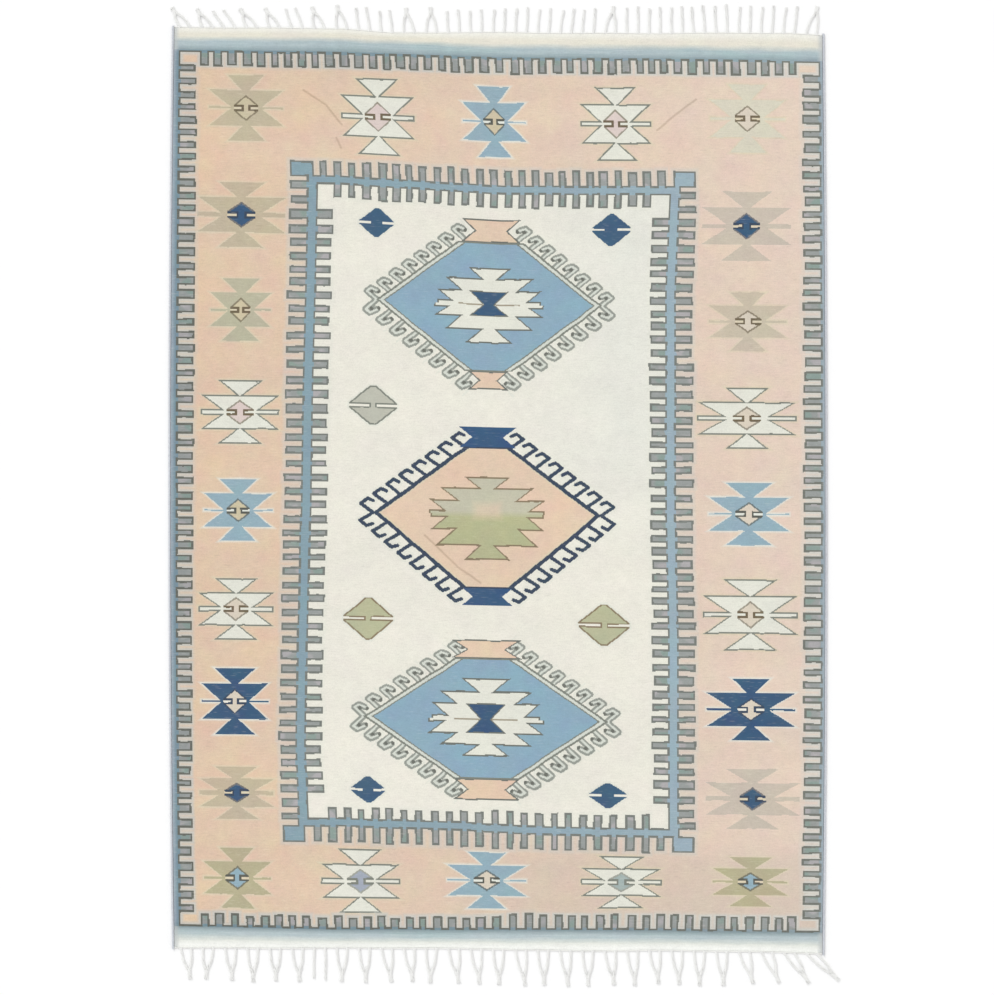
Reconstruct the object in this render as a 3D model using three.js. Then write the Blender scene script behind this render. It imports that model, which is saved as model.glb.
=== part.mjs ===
// A hand-knotted wool rug of traditional Anatolian pattern, laid flat with its face up.
//
// Five pieces: the rug, the overcast cord along each side, and the warp fringe at each end.
// Millimetres, +Z up. The rug is longest along Y and its underside lies in the plane Z = 0.

import * as THREE from 'three';
import { mergeVertices } from 'three/addons/utils/BufferGeometryUtils.js';

// ---------------------------------------------------------------------------
// Driving dimensions
// ---------------------------------------------------------------------------

const rugWidth = 1600;          // over both side cords, measured at the ends
const rugLength = 2238;         // woven length, without the fringe
const sideSwell = { left: 9, right: 7 };       // each side bows out this far at mid-length
const endRipple = 1.5;          // height of the ripples along the woven ends

// How far the woven ends stand above the square outline. across runs from 0 to 1.
const endLine = {
  top: [
    { across: 0.0, rise: 13 },
    { across: 0.26, rise: 12 },
    { across: 0.33, rise: 1 },
    { across: 0.95, rise: -1 },
    { across: 1.0, rise: -6 },
  ],
  bottom: [
    { across: 0.0, rise: 0 },
    { across: 0.5, rise: -3 },
    { across: 0.62, rise: -8 },
    { across: 0.88, rise: -9 },
    { across: 1.0, rise: -14 },
  ],
};

const pileThickness = 6;        // knotted part, warps and sheared pile together
const flatThickness = 3;        // flat-woven ends
const flatEnd = { top: 53, bottom: 43 };       // length of the flat-woven ends
const pileBevel = 3;            // the pile slopes down to the flat weave over this length

const cord = { radius: 3.2, reach: 4 };        // side cord, and how far it passes the ends
const clearance = 0.3;          // between neighbouring pieces

const fringeThickness = 5;
const headerDepth = 4;          // twined edge that the fringe hangs from
const pairCount = 29;           // pairs of warp bundles along each end
const bundleWidth = 5;
const bundleSpacing = 26;       // between the two bundles of one pair
const knot = { halfWidth: 5.5, halfHeight: 5 };
const legSpreadAtKnot = 3;
const legBend = 3;              // how far a tied bundle bows outward
const tuftHalfWidth = 3.5;
const freeBundles = [
  { side: -1, drift: 0.7, tuftShare: 0.5 },
  { side: 1, drift: 0.3, tuftShare: 0.8 },
];

// How the fringe lies. across runs from 0 at the left to 1 at the right, length is measured
// from the woven edge to the knots, and lean is the sideways shift from root to knot.
const fringeLie = {
  top: [
    { across: 0.0, length: 36, lean: -26 },
    { across: 0.1, length: 38, lean: -24 },
    { across: 0.28, length: 46, lean: -9 },
    { across: 0.5, length: 50, lean: 3 },
    { across: 0.62, length: 54, lean: 6 },
    { across: 0.8, length: 58, lean: -4 },
    { across: 1.0, length: 60, lean: 12 },
  ],
  bottom: [
    { across: 0.0, length: 62, lean: 2 },
    { across: 0.5, length: 68, lean: 2 },
    { across: 0.85, length: 66, lean: 6 },
    { across: 0.94, length: 60, lean: 42 },
    { across: 1.0, length: 50, lean: 62 },
  ],
};
const tuftLength = { top: 12, bottom: 18 };        // loose yarn past the knots
const tiedShare = { top: 0.35, bottom: 0.85 };  // share of the pairs that are knotted together
const leanVariation = { top: 4, bottom: 7 };

const bodyColumns = 20;
const bodyRows = 20;
const cordSides = 10;

// One column of a table at any place across, in a straight line from row to row.
function read(rows, across, column) {
  const next = Math.max(1, rows.findIndex((row) => row.across >= across));
  const from = rows[next - 1];
  const to = rows[next];
  const share = (across - from.across) / (to.across - from.across);
  return from[column] + share * (to[column] - from[column]);
}

// ---------------------------------------------------------------------------
// The outline. across and along both run from 0 to 1, left to right and bottom to top.
// ---------------------------------------------------------------------------

function swell(along) {
  return 4 * along * (1 - along);
}

function leftSide(along) {
  return -rugWidth / 2 - sideSwell.left * swell(along);
}

function rightSide(along) {
  return rugWidth / 2 + sideSwell.right * swell(along);
}

const cordWidth = 2 * cord.radius + clearance;

function bodyX(across, along) {
  const left = leftSide(along) + cordWidth;
  const right = rightSide(along) - cordWidth;
  return left + across * (right - left);
}

function ripple(across) {
  return endRipple * (0.6 * Math.sin(15 * across + 0.8) + 0.4 * Math.sin(37 * across + 2));
}

function topEnd(across) {
  return rugLength / 2 + read(endLine.top, across, 'rise') + ripple(across);
}

function bottomEnd(across) {
  return -rugLength / 2 + read(endLine.bottom, across, 'rise') - ripple(1 - across);
}

// ---------------------------------------------------------------------------
// Materials
// ---------------------------------------------------------------------------

function yarn(colour, roughness = 0.95) {
  return new THREE.MeshStandardMaterial({ color: colour, roughness, metalness: 0 });
}

// ---------------------------------------------------------------------------
// The rug: rows of stations across its length, low at the flat-woven ends
// ---------------------------------------------------------------------------

function bodyStations() {
  const low = flatThickness;
  const high = pileThickness;
  const stations = [
    { along: 0, inset: 0, thickness: low },
    { along: 0, inset: flatEnd.bottom, thickness: low },
    { along: 0, inset: flatEnd.bottom + pileBevel, thickness: high },
  ];
  for (let row = 1; row < bodyRows; row += 1) {
    stations.push({ along: row / bodyRows, inset: 0, thickness: high });
  }
  stations.push({ along: 1, inset: flatEnd.top + pileBevel, thickness: high });
  stations.push({ along: 1, inset: flatEnd.top, thickness: low });
  stations.push({ along: 1, inset: 0, thickness: low });
  return stations;
}

function rugBody() {
  const stations = bodyStations();
  const rows = stations.length - 1;
  const geometry = new THREE.BoxGeometry(1, 1, 1, bodyColumns, rows, 1);
  const position = geometry.getAttribute('position');
  for (let i = 0; i < position.count; i += 1) {
    const across = position.getX(i) + 0.5;
    const station = stations[Math.round((position.getY(i) + 0.5) * rows)];
    const bottom = bottomEnd(across) + station.inset;
    const top = topEnd(across) - station.inset;
    const y = bottom + station.along * (top - bottom);
    const z = position.getZ(i) > 0 ? station.thickness : 0;
    position.setXYZ(i, bodyX(across, station.along), y, z);
  }
  return closed(geometry);
}

// ---------------------------------------------------------------------------
// Side cords: a round cord, flat where it lies on the ground
// ---------------------------------------------------------------------------

function sideCord(across) {
  const geometry = new THREE.CylinderGeometry(1, 1, 1, cordSides, bodyRows);
  const position = geometry.getAttribute('position');
  const bottom = bottomEnd(across) - cord.reach;
  const top = topEnd(across) + cord.reach;
  for (let i = 0; i < position.count; i += 1) {
    const along = position.getY(i) + 0.5;
    const centre = across === 0 ? leftSide(along) + cord.radius : rightSide(along) - cord.radius;
    const x = centre + cord.radius * position.getX(i);
    const z = Math.max(0, pileThickness - cord.radius * (1 - position.getZ(i)));
    position.setXYZ(i, x, bottom + along * (top - bottom), z);
  }
  return closed(geometry);
}

// ---------------------------------------------------------------------------
// Fringe: a comb of leaning bundles. A point of it is { s, d }: s along the end from its
// left corner, d outward from the woven edge.
// ---------------------------------------------------------------------------

// A repeatable value from -1 to 1 for each whole number.
function jitter(seed) {
  const wave = Math.sin(seed * 12.9898) * 43758.5453;
  return 2 * (wave - Math.floor(wave)) - 1;
}

function toward(from, to) {
  const size = Math.hypot(to.s - from.s, to.d - from.d);
  return { s: (to.s - from.s) / size, d: (to.d - from.d) / size };
}

// The point that lies ahead of another by one length and to its left by a second one.
function step(point, heading, ahead, left) {
  return {
    s: point.s + heading.s * ahead - heading.d * left,
    d: point.d + heading.d * ahead + heading.s * left,
  };
}

// The two edges of one bundle, from its root at the header to just past its middle. The
// bundle bends outward, to its left where bend is positive.
function bundleEdges(root, end, bend) {
  const start = { s: root, d: headerDepth };
  const heading = toward(start, end);
  const reach = Math.hypot(end.s - root, end.d - headerDepth);
  const bendPoint = step(start, heading, 0.55 * reach, bend);
  const half = bundleWidth / 2;
  return {
    left: [{ s: root - half, d: headerDepth }, step(bendPoint, heading, 0, half)],
    right: [{ s: root + half, d: headerDepth }, step(bendPoint, heading, 0, -half)],
  };
}

// Two bundles tied in one knot, with the loop between them as a hole.
function tiedPair(centre, lie, tuft, sway) {
  const tie = { s: centre + lie.lean + sway, d: lie.length };
  const heading = toward({ s: centre, d: 0 }, tie);
  const spread = bundleSpacing / 2;
  const leftLeg = bundleEdges(centre - spread, step(tie, heading, 0, legSpreadAtKnot), legBend);
  const rightLeg = bundleEdges(centre + spread, step(tie, heading, 0, -legSpreadAtKnot), -legBend);
  const outline = [
    ...leftLeg.left,
    step(tie, heading, 0, knot.halfWidth),
    step(tie, heading, tuft, tuftHalfWidth),
    step(tie, heading, tuft, -tuftHalfWidth),
    step(tie, heading, 0, -knot.halfWidth),
    ...rightLeg.right.slice().reverse(),
  ];
  const hole = [
    ...leftLeg.right,
    step(tie, heading, -2 * knot.halfHeight, 0),
    ...rightLeg.left.slice().reverse(),
  ];
  return { outline, holes: [hole] };
}

// Two bundles that hang free of each other; the left one is the shorter.
function freePair(centre, lie, tuft, sway) {
  const outline = [];
  for (const bundle of freeBundles) {
    const root = centre + bundle.side * (bundleSpacing / 2);
    const end = { s: root + lie.lean + bundle.drift * sway, d: lie.length };
    const leg = bundleEdges(root, end, -bundle.side);
    const heading = toward({ s: root, d: 0 }, end);
    outline.push(...leg.left);
    outline.push(step(end, heading, bundle.tuftShare * tuft, tuftHalfWidth));
    outline.push(step(end, heading, bundle.tuftShare * tuft, -tuftHalfWidth));
    outline.push(...leg.right.slice().reverse());
  }
  return { outline, holes: [] };
}

function fringe(end) {
  const outward = end === 'top' ? 1 : -1;
  const along = end === 'top' ? 1 : 0;
  const edge = end === 'top' ? topEnd : bottomEnd;
  const left = bodyX(0, along);
  const width = bodyX(1, along) - left;
  const place = ({ s, d }) => new THREE.Vector2(left + s, edge(s / width) + outward * (clearance + d));

  const points = [];
  const holes = [];
  for (let column = bodyColumns; column >= 0; column -= 1) {
    points.push({ s: (width * column) / bodyColumns, d: 0 });
  }
  points.push({ s: 0, d: headerDepth });
  const pitch = width / pairCount;
  for (let pair = 0; pair < pairCount; pair += 1) {
    const across = (pair + 0.5) / pairCount;
    const seed = pair + (end === 'top' ? 100 : 1);
    const lie = {
      length: read(fringeLie[end], across, 'length') + 3 * jitter(seed + 0.3),
      lean: read(fringeLie[end], across, 'lean'),
    };
    const sway = leanVariation[end] * jitter(seed);
    const tied = (jitter(seed + 0.7) + 1) / 2 < tiedShare[end];
    const shape = tied ? tiedPair : freePair;
    const made = shape(pitch * (pair + 0.5), lie, tuftLength[end], sway);
    points.push(...made.outline);
    holes.push(...made.holes);
  }
  points.push({ s: width, d: headerDepth });

  // An extruded outline runs anticlockwise; the top comb is drawn the other way round.
  const placed = points.map(place);
  if (THREE.ShapeUtils.isClockWise(placed)) {
    placed.reverse();
  }
  const outline = new THREE.Shape(placed);
  for (const hole of holes) {
    outline.holes.push(new THREE.Path(hole.map(place)));
  }
  return closed(new THREE.ExtrudeGeometry(outline, { depth: fringeThickness, bevelEnabled: false }));
}

// ---------------------------------------------------------------------------
// Assembly
// ---------------------------------------------------------------------------

function closed(geometry) {
  geometry.deleteAttribute('normal');
  geometry.deleteAttribute('uv');
  const merged = mergeVertices(geometry, 1e-4);
  merged.computeVertexNormals();
  return merged;
}

function piece(name, geometry, material) {
  const mesh = new THREE.Mesh(geometry, material);
  mesh.name = name;
  return mesh;
}

const woven = new THREE.Group();
woven.add(
  piece('rug', rugBody(), yarn('#e0cbb2')),
  piece('selvedge_left', sideCord(0), yarn('#8fa3ad')),
  piece('selvedge_right', sideCord(1), yarn('#8fa3ad')),
  piece('fringe_top', fringe('top'), yarn('#e9e7df', 0.9)),
  piece('fringe_bottom', fringe('bottom'), yarn('#e9e7df', 0.9)),
);

// The origin lies under the middle of the whole rug, fringe included.
const middle = new THREE.Box3().setFromObject(woven).getCenter(new THREE.Vector3());
woven.position.set(-middle.x, -middle.y, 0);

const rug = new THREE.Group();
rug.add(woven);

export default rug;
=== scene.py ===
# %% [markdown]
# # A hand-knotted wool rug, laid flat
#
# A rug like this is drawn as a **chart** first: squared paper on which every square is one knot.
# The weaver follows the chart, but the wefts creep up and down, the sides pull in and out and
# every tooth of the border comes out a little different.
#
# The lesson keeps the two apart. The *mesh* is only the cloth: a thin slab with its uneven
# outline. The *chart* is a set of shader node groups that say, for each knot, what colour it is.
# The mesh carries the chart's coordinates in metres, so stretching the cloth stretches the
# pattern with it, as it does on a loom.

import math

import bpy
import numpy as np
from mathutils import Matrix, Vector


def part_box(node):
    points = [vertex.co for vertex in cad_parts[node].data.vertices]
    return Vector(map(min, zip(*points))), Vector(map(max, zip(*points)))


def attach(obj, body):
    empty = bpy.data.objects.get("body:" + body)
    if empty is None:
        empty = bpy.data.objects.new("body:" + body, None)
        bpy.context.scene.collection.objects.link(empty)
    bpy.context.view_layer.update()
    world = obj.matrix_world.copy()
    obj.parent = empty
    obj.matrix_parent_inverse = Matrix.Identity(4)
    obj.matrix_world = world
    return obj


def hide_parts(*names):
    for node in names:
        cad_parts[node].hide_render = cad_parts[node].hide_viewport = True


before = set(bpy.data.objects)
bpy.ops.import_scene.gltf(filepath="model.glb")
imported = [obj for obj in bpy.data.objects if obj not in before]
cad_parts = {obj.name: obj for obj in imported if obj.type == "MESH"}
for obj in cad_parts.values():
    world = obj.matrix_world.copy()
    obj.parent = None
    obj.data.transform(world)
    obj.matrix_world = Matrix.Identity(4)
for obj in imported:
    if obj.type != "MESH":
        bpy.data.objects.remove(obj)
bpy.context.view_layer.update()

# %% [markdown]
# ## The outline
#
# The outline is the same one as in the CAD: the sides bow out a little at mid-length, and each
# end has its own crooked line. It is written in *woven* coordinates, measured from the middle
# of the woven rug. `shift` moves them to the row frame, and is found by laying this outline
# over the CAD's rug, so the two can't drift apart.

# %% Outline
MM = 0.001
rug_width = 1600 * MM
rug_length = 2238 * MM
side_swell = {"left": 9 * MM, "right": 7 * MM}
end_ripple = 1.5 * MM
cord_radius = 3.2 * MM
cord_reach = 4 * MM
clearance = 0.3 * MM
pile_thickness = 6 * MM
flat_thickness = 3 * MM
body_columns = 20

# across, rise above the square outline in mm
end_line = {
    "top": [(0.0, 13), (0.26, 12), (0.33, 1), (0.95, -1), (1.0, -6)],
    "bottom": [(0.0, 0), (0.5, -3), (0.62, -8), (0.88, -9), (1.0, -14)],
}


def swell(along):
    return 4 * along * (1 - along)


def left_side(along):
    return -rug_width / 2 - side_swell["left"] * swell(along)


def right_side(along):
    return rug_width / 2 + side_swell["right"] * swell(along)


cord_width = 2 * cord_radius + clearance


def ripple(across):
    return end_ripple * (0.6 * np.sin(15 * across + 0.8) + 0.4 * np.sin(37 * across + 2))


def top_end(across):
    stops, rise = zip(*end_line["top"])
    return rug_length / 2 + MM * np.interp(across, stops, rise) + ripple(across)


def bottom_end(across):
    stops, rise = zip(*end_line["bottom"])
    return -rug_length / 2 + MM * np.interp(across, stops, rise) - ripple(1 - across)


columns = np.linspace(0, 1, body_columns + 1)
rug_low, rug_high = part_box("rug")
shift = np.array(
    [
        rug_low.x - (left_side(0.5) + cord_width),
        rug_high.y - top_end(columns).max(),
    ]
)
print("woven coordinates are moved by", (shift / MM).round(2), "mm")

# %% [markdown]
# ## How the chart lies on the cloth
#
# `u` runs across the chart and `v` along it. Two short tables say how far the wefts have crept
# and how the inner border leans, and `place` turns a point of the chart into a point of the rug.

# %% Weft creep
half_chart = rug_width / 2 - cord_width
chart_end = rug_length / 2

# How far the cloth has crept up, in mm, at five places across
creep_across = (0, 0.25, 0.5, 0.75, 1)
weft_creep = [
    # v, left, ..., right
    (-1101, 9, 0, -2, -3, -8),
    (-1074, 9, 0, -1, -3, -8),
    (-833, 17, 13, 0, -9, -14),
    (-49, 10, 7, 0, -7, -10),
    (743, 24, 17, -8, -9, -12),
    (1063, 14, 8, -5, -8, -14),
    (1092, 16, 14, -4, -6, -13),
]

# How far the inner border leans to the right, in mm
spine = {"left": -465 * MM, "right": 418 * MM, "top": 743 * MM, "bottom": -826 * MM}
spine_half = {"side": 13.5 * MM, "end": 11.5 * MM}
spine_lean = [
    # v, left, right
    (-1073, 0, 0),
    (-826, -5, 5),
    (-637, -12, 4),
    (-343, -7, 3),
    (-49, 0, -4),
    (245, 4, -4),
    (490, 10, -4),
    (743, 14, 8),
    (1062, 0, 0),
]


def between(heights, values, v):
    """For each point, its value in the two rows beside it, mixed. values has a row per height."""
    above = np.clip(np.searchsorted(heights, v), 1, len(heights) - 1)
    share = (v - heights[above - 1]) / (heights[above] - heights[above - 1])
    point = np.arange(len(v))
    return (1 - share) * values[above - 1, point] + share * values[above, point]


def place(u, v):
    """Woven x and y of points of the chart."""
    across = (u + half_chart) / (2 * half_chart)
    table = np.array(weft_creep) * MM
    rows = [bottom_end(across) + chart_end]
    rows += [np.interp(across, creep_across, row[1:]) for row in table]
    rows += [top_end(across) - chart_end]
    heights = np.array([-chart_end, *table[:, 0], chart_end])
    y = v + between(heights, np.array(rows), v)

    lean = np.array(spine_lean) * MM
    at_left = np.interp(v, lean[:, 0], lean[:, 1])
    at_right = np.interp(v, lean[:, 0], lean[:, 2])
    zero = np.zeros_like(u)
    stops = np.array([-half_chart, spine["left"], spine["right"], half_chart])
    leaning = between(stops, np.array([zero, at_left, at_right, zero]), u)
    along = (v + chart_end) / (2 * chart_end)
    left = left_side(along) + cord_width
    right = right_side(along) - cord_width
    x = left + across * (right - left) + leaning
    return x, y


# %% [markdown]
# ## Sums made of nodes
#
# A chart is mostly arithmetic: how far is this knot from the edge of that tooth? Written as
# maths nodes by hand it would be unreadable, so a `Term` stands for a socket, and ordinary
# `+`, `-`, `*` on terms add the nodes. Shapes are distances: negative inside, positive outside.
# The nearer of two shapes is `least(a, b)`, and their overlap is `most(a, b)`.


# %% Terms
class Term:
    """A value in a node tree that other nodes can be fed from."""

    def __init__(self, tree, socket):
        self.tree = tree
        self.socket = socket

    def __add__(self, other):
        return maths("ADD", self, other)

    def __radd__(self, other):
        return maths("ADD", other, self)

    def __sub__(self, other):
        return maths("SUBTRACT", self, other)

    def __rsub__(self, other):
        return maths("SUBTRACT", other, self)

    def __mul__(self, other):
        return maths("MULTIPLY", self, other)

    def __rmul__(self, other):
        return maths("MULTIPLY", other, self)

    def __truediv__(self, other):
        return maths("DIVIDE", self, other)

    def __rtruediv__(self, other):
        return maths("DIVIDE", other, self)

    def __neg__(self):
        return maths("MULTIPLY", self, -1.0)

    def __abs__(self):
        return maths("ABSOLUTE", self)


def feed(tree, value, socket):
    if isinstance(value, Term):
        tree.links.new(value.socket, socket)
    else:
        socket.default_value = value


def maths(operation, *parts, clamp=False):
    tree = next(part.tree for part in parts if isinstance(part, Term))
    node = tree.nodes.new("ShaderNodeMath")
    node.operation = operation
    node.use_clamp = clamp
    for part, socket in zip(parts, node.inputs):
        feed(tree, part, socket)
    return Term(tree, node.outputs[0])


def least(first, *rest):
    for other in rest:
        first = maths("MINIMUM", first, other)
    return first


def most(first, *rest):
    for other in rest:
        first = maths("MAXIMUM", first, other)
    return first


def below(value, limit):
    return maths("LESS_THAN", value, limit)


def limited(value):
    return maths("MULTIPLY", value, 1.0, clamp=True)


def add_node(tree, kind, inputs=(), **settings):
    node = tree.nodes.new(kind)
    for name, value in settings.items():
        setattr(node, name, value)
    for name, value in dict(inputs).items():
        feed(tree, value, node.inputs[name])
    return node


def parts_of(tree, vector):
    node = add_node(tree, "ShaderNodeSeparateXYZ", {0: vector})
    return [Term(tree, socket) for socket in node.outputs]


def joined(tree, x=0.0, y=0.0, z=0.0):
    node = add_node(tree, "ShaderNodeCombineXYZ", {"X": x, "Y": y, "Z": z})
    return Term(tree, node.outputs[0])


def paint(mask, over, under):
    """over where the mask is 1, under where it is 0."""
    tree = mask.tree
    node = tree.nodes.new("ShaderNodeMix")
    node.data_type = "RGBA"
    feed(tree, mask, node.inputs[0])
    feed(tree, under, node.inputs[6])
    feed(tree, over, node.inputs[7])
    return Term(tree, node.outputs[2])


def noise(tree, vector, scale, detail):
    node = add_node(tree, "ShaderNodeTexNoise", {"Vector": vector, "Scale": scale, "Detail": detail})
    return Term(tree, node.outputs["Fac"])


def group(name, inputs, outputs):
    """A new node group, the terms of its inputs and the node its outputs are fed to."""
    tree = bpy.data.node_groups.new(name, "ShaderNodeTree")
    for label, kind in inputs.items():
        tree.interface.new_socket(name=label, in_out="INPUT", socket_type="NodeSocket" + kind)
    for label, kind in outputs.items():
        tree.interface.new_socket(name=label, in_out="OUTPUT", socket_type="NodeSocket" + kind)
    entry = tree.nodes.new("NodeGroupInput")
    terms = {label: Term(tree, entry.outputs[label]) for label in inputs}
    return tree, terms, tree.nodes.new("NodeGroupOutput")


def give(tree, exit_node, **values):
    for label, value in values.items():
        feed(tree, value, exit_node.inputs[label])


def use(tree, made, **inputs):
    node = tree.nodes.new("ShaderNodeGroup")
    node.node_tree = made
    for label, value in inputs.items():
        feed(tree, value, node.inputs[label])
    return {socket.name: Term(tree, socket) for socket in node.outputs}


def sRGB(red, green, blue):
    """A colour written as on a screen, from 0 to 255, as the linear colour that shaders take."""
    shares = [channel / 255 for channel in (red, green, blue)]
    return (*[s / 12.92 if s < 0.04 else ((s + 0.055) / 1.055) ** 2.4 for s in shares], 1.0)


# %% [markdown]
# ## Knots
#
# Every point of the pile belongs to a knot, and a whole knot has one colour. So the chart is
# read at the middle of the knot, which gives all the slanting lines their fine steps. A slow
# wobble keeps ruled lines from looking ruled.

# %% Knot grid
knot_size = (2.0 * MM, 1.9 * MM)
wobble = 1.1 * MM


def knot_group():
    outputs = {"U": "Float", "V": "Float", "Index": "Vector", "Dome": "Float"}
    tree, given, exit_node = group("Knot grid", {"Chart": "Vector"}, outputs)
    u, v, _ = parts_of(tree, given["Chart"])
    column = maths("FLOOR", u / knot_size[0])
    row = maths("FLOOR", v / knot_size[1])
    middle_u = (column + 0.5) * knot_size[0]
    middle_v = (row + 0.5) * knot_size[1]
    where = joined(tree, middle_u, middle_v)
    slow = add_node(tree, "ShaderNodeTexNoise", {"Vector": where, "Scale": 20.0, "Detail": 1.0})
    sway = parts_of(tree, Term(tree, slow.outputs["Color"]))
    from_middle_u = (u - middle_u) / knot_size[0]
    from_middle_v = (v - middle_v) / knot_size[1]
    dome = 1.0 - 2.0 * (from_middle_u * from_middle_u + from_middle_v * from_middle_v)
    give(
        tree,
        exit_node,
        U=middle_u + (sway[0] - 0.5) * (4 * wobble),
        V=middle_v + (sway[1] - 0.5) * (4 * wobble),
        Index=joined(tree, column, row),
        Dome=dome,
    )
    return tree


knots = knot_group()
print("knots to the square metre:", round(1 / (knot_size[0] * knot_size[1])))

# %% [markdown]
# ## The comb border
#
# Teeth stand on a base line. `Out` is the distance from that line and `Along` the distance from
# the middle of the first tooth. Each tooth takes its own width, length and place from random
# numbers of its own, and the row as a whole drifts, least of all near the corners. `Skip` leaves
# out teeth at both ends of the row.

# %% Comb
comb_line = 4.8 * MM
tooth_spread = {"place": 3.5 * MM, "half": 3.2 * MM, "length": 6 * MM}
row_drift = 30 * MM
corner_margin = 30 * MM
# Middle of the first tooth and of the last, in mm, then how many there are on the left or at the
# bottom, and how many on the right or at the top
outer_row = {"side": (-1031, 1020, 64, 63), "end": (-720, 720, 41, 43)}
inner_row = {"side": (-813, 730, 47, 49), "end": (-438, 391, 24, 25)}


def comb_group():
    names = ("Out", "Along", "Pitch", "Count", "Skip", "Half", "Length", "Seed")
    tree, given, exit_node = group("Comb", dict.fromkeys(names, "Float"), {"Distance": "Float"})
    row_end = given["Pitch"] * (given["Count"] - 1.0)
    from_corner = least(given["Along"], row_end - given["Along"]) + corner_margin
    drift = noise(tree, joined(tree, given["Along"], given["Seed"]), scale=5.0, detail=1.0)
    along = given["Along"] + (drift - 0.5) * limited(from_corner * 8.0) * row_drift
    cell = maths("FLOOR", along / given["Pitch"] + 0.5)
    dice = add_node(tree, "ShaderNodeTexWhiteNoise", {"Vector": joined(tree, cell, given["Seed"])})
    rolled = parts_of(tree, Term(tree, dice.outputs["Color"]))
    local = along - cell * given["Pitch"] + (rolled[0] - 0.5) * tooth_spread["place"]
    half = given["Half"] + (rolled[1] - 0.5) * tooth_spread["half"]
    length = given["Length"] + (rolled[2] - 0.5) * tooth_spread["length"]
    last = given["Count"] - 1.0 - given["Skip"]
    missing = most(given["Skip"] - cell, cell - last) - 0.5
    give(tree, exit_node, Distance=most(abs(local) - half, given["Out"] - length, missing))
    return tree


comb = comb_group()


def teeth(tree, out, along, row, second, seed, half, length, skip=0):
    """Distance to a row of teeth. half and length are in mm. second is 0 on the left or at the
    bottom and 1 on the right or at the top, where the weaver fitted in another number."""
    first, last, count, second_count = row
    number = second * (second_count - count) + float(count)
    made = use(tree, comb, Out=out, Along=along - first * MM, Pitch=(last - first) * MM / (number - 1.0),
               Count=number, Skip=float(skip), Half=half * MM, Length=length * MM, Seed=seed)
    return made["Distance"]


# %% [markdown]
# ## Stars and hexagons
#
# The star is three shapes drawn together: a bow tie at top and bottom, a wide waisted body and
# a pair of arms. The hexagon at its heart is also the small figure of the field. Two slits run
# into it from the sides.


# %% Star and hexagon
slit_half = 2.7 * MM
tie_waist = 9 * MM
largest_heart = 33 * MM


def tapered(x, y, start, end, start_half, end_half, slant=0.75, overlap=0.0):
    """Distance to a strip from start to end that changes its half-width on the way.
    The overlap carries it on below its start, into the shape it grows from."""
    rate = (end_half - start_half) / (end - start)
    half = start_half + (y - start) * rate
    return most(start - overlap - y, y - end, (x - half) * slant)


def hexagon_group():
    names = ("X", "Y", "Wide", "High", "Blunt", "Neck")
    outputs = {"Body": "Float", "Slit": "Float"}
    tree, given, exit_node = group("Slit hexagon", dict.fromkeys(names, "Float"), outputs)
    x = abs(given["X"])
    y = abs(given["Y"])
    slope = given["High"] / given["Wide"]
    slanting = y - given["High"] + (x - given["Blunt"] * given["Wide"]) * slope
    body = most(x - given["Wide"], slanting * 0.7)
    slit = most(y - slit_half, given["Neck"] * given["Wide"] - x)
    give(tree, exit_node, Body=body, Slit=slit)
    return tree


def star_group(hexagon):
    names = ("X", "Y", "Wide", "High", "Cap", "Arms")
    outputs = {"Body": "Float", "Centre": "Float", "Slit": "Float"}
    tree, given, exit_node = group("Star", dict.fromkeys(names, "Float"), outputs)
    x = abs(given["X"])
    y = abs(given["Y"])
    wide = given["Wide"]
    high = given["High"]
    neck = high * 0.54
    waist = high * 0.07
    tie = tapered(x, y, neck, high, tie_waist, given["Cap"], overlap=9 * MM)
    body = tapered(x, y, waist, neck, wide * 0.47, wide, overlap=20 * MM)
    arms = most(y - given["Arms"], x - wide)
    heart = use(tree, hexagon, X=x, Y=y, Wide=least(wide * 0.34, largest_heart), High=high * 0.305,
                Blunt=0.3, Neck=0.36)
    give(
        tree,
        exit_node,
        Body=least(tie, body, arms),
        Centre=heart["Body"],
        Slit=heart["Slit"],
    )
    return tree


hexagon = hexagon_group()
star = star_group(hexagon)

# %% [markdown]
# ## The hooked medallion
#
# A long hexagon with a row of hooks along each slanting side. The side is turned level, so
# that one hook, made of a few short strokes, can be repeated along it. A waisted cap stands
# on each flat end, and a stepped star fills the middle. No two halves came out the same size,
# so the group is given the sizes of the half that it draws.

# %% Medallion
hook_count = 8
# The corners of a hook, in mm: along the side, out from it
open_hook = [(0, 0), (-11.5, 35.5), (9.5, 35.5), (17, 23)]
curled_hook = [(0, -4), (-2.6, 10), (-8.5, 30), (4.5, 30), (14, 16.5)]
# The ground colour curls back under the tip of each hook, past two dark eyes
counter_hook = [(19, 44), (21.4, 24), (24.4, 9), (18.5, 3.8), (12.5, 4), (8, 9.5)]
hook_eyes = [(1.7, 21.8), (15.2, 12.4)]
arm_half = 6.6 * MM
heart_half = {"waist": 11 * MM, "tip": 44 * MM}
seam_half = 1.7 * MM
seam_from, seam_to = 15 * MM, 76 * MM


def stroke(x, y, start, end):
    """Distance to the straight line from start to end."""
    ahead = (end[0] - start[0], end[1] - start[1])
    size = ahead[0] ** 2 + ahead[1] ** 2
    from_x = x - start[0]
    from_y = y - start[1]
    share = limited((from_x * ahead[0] + from_y * ahead[1]) * (1 / size))
    off_x = from_x - share * ahead[0]
    off_y = from_y - share * ahead[1]
    return maths("SQRT", off_x * off_x + off_y * off_y)


def bent(x, y, corners):
    """Distance to a bent line through corners given in mm."""
    points = [(a * MM, b * MM) for a, b in corners]
    return least(*[stroke(x, y, a, b) for a, b in zip(points, points[1:])])


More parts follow.
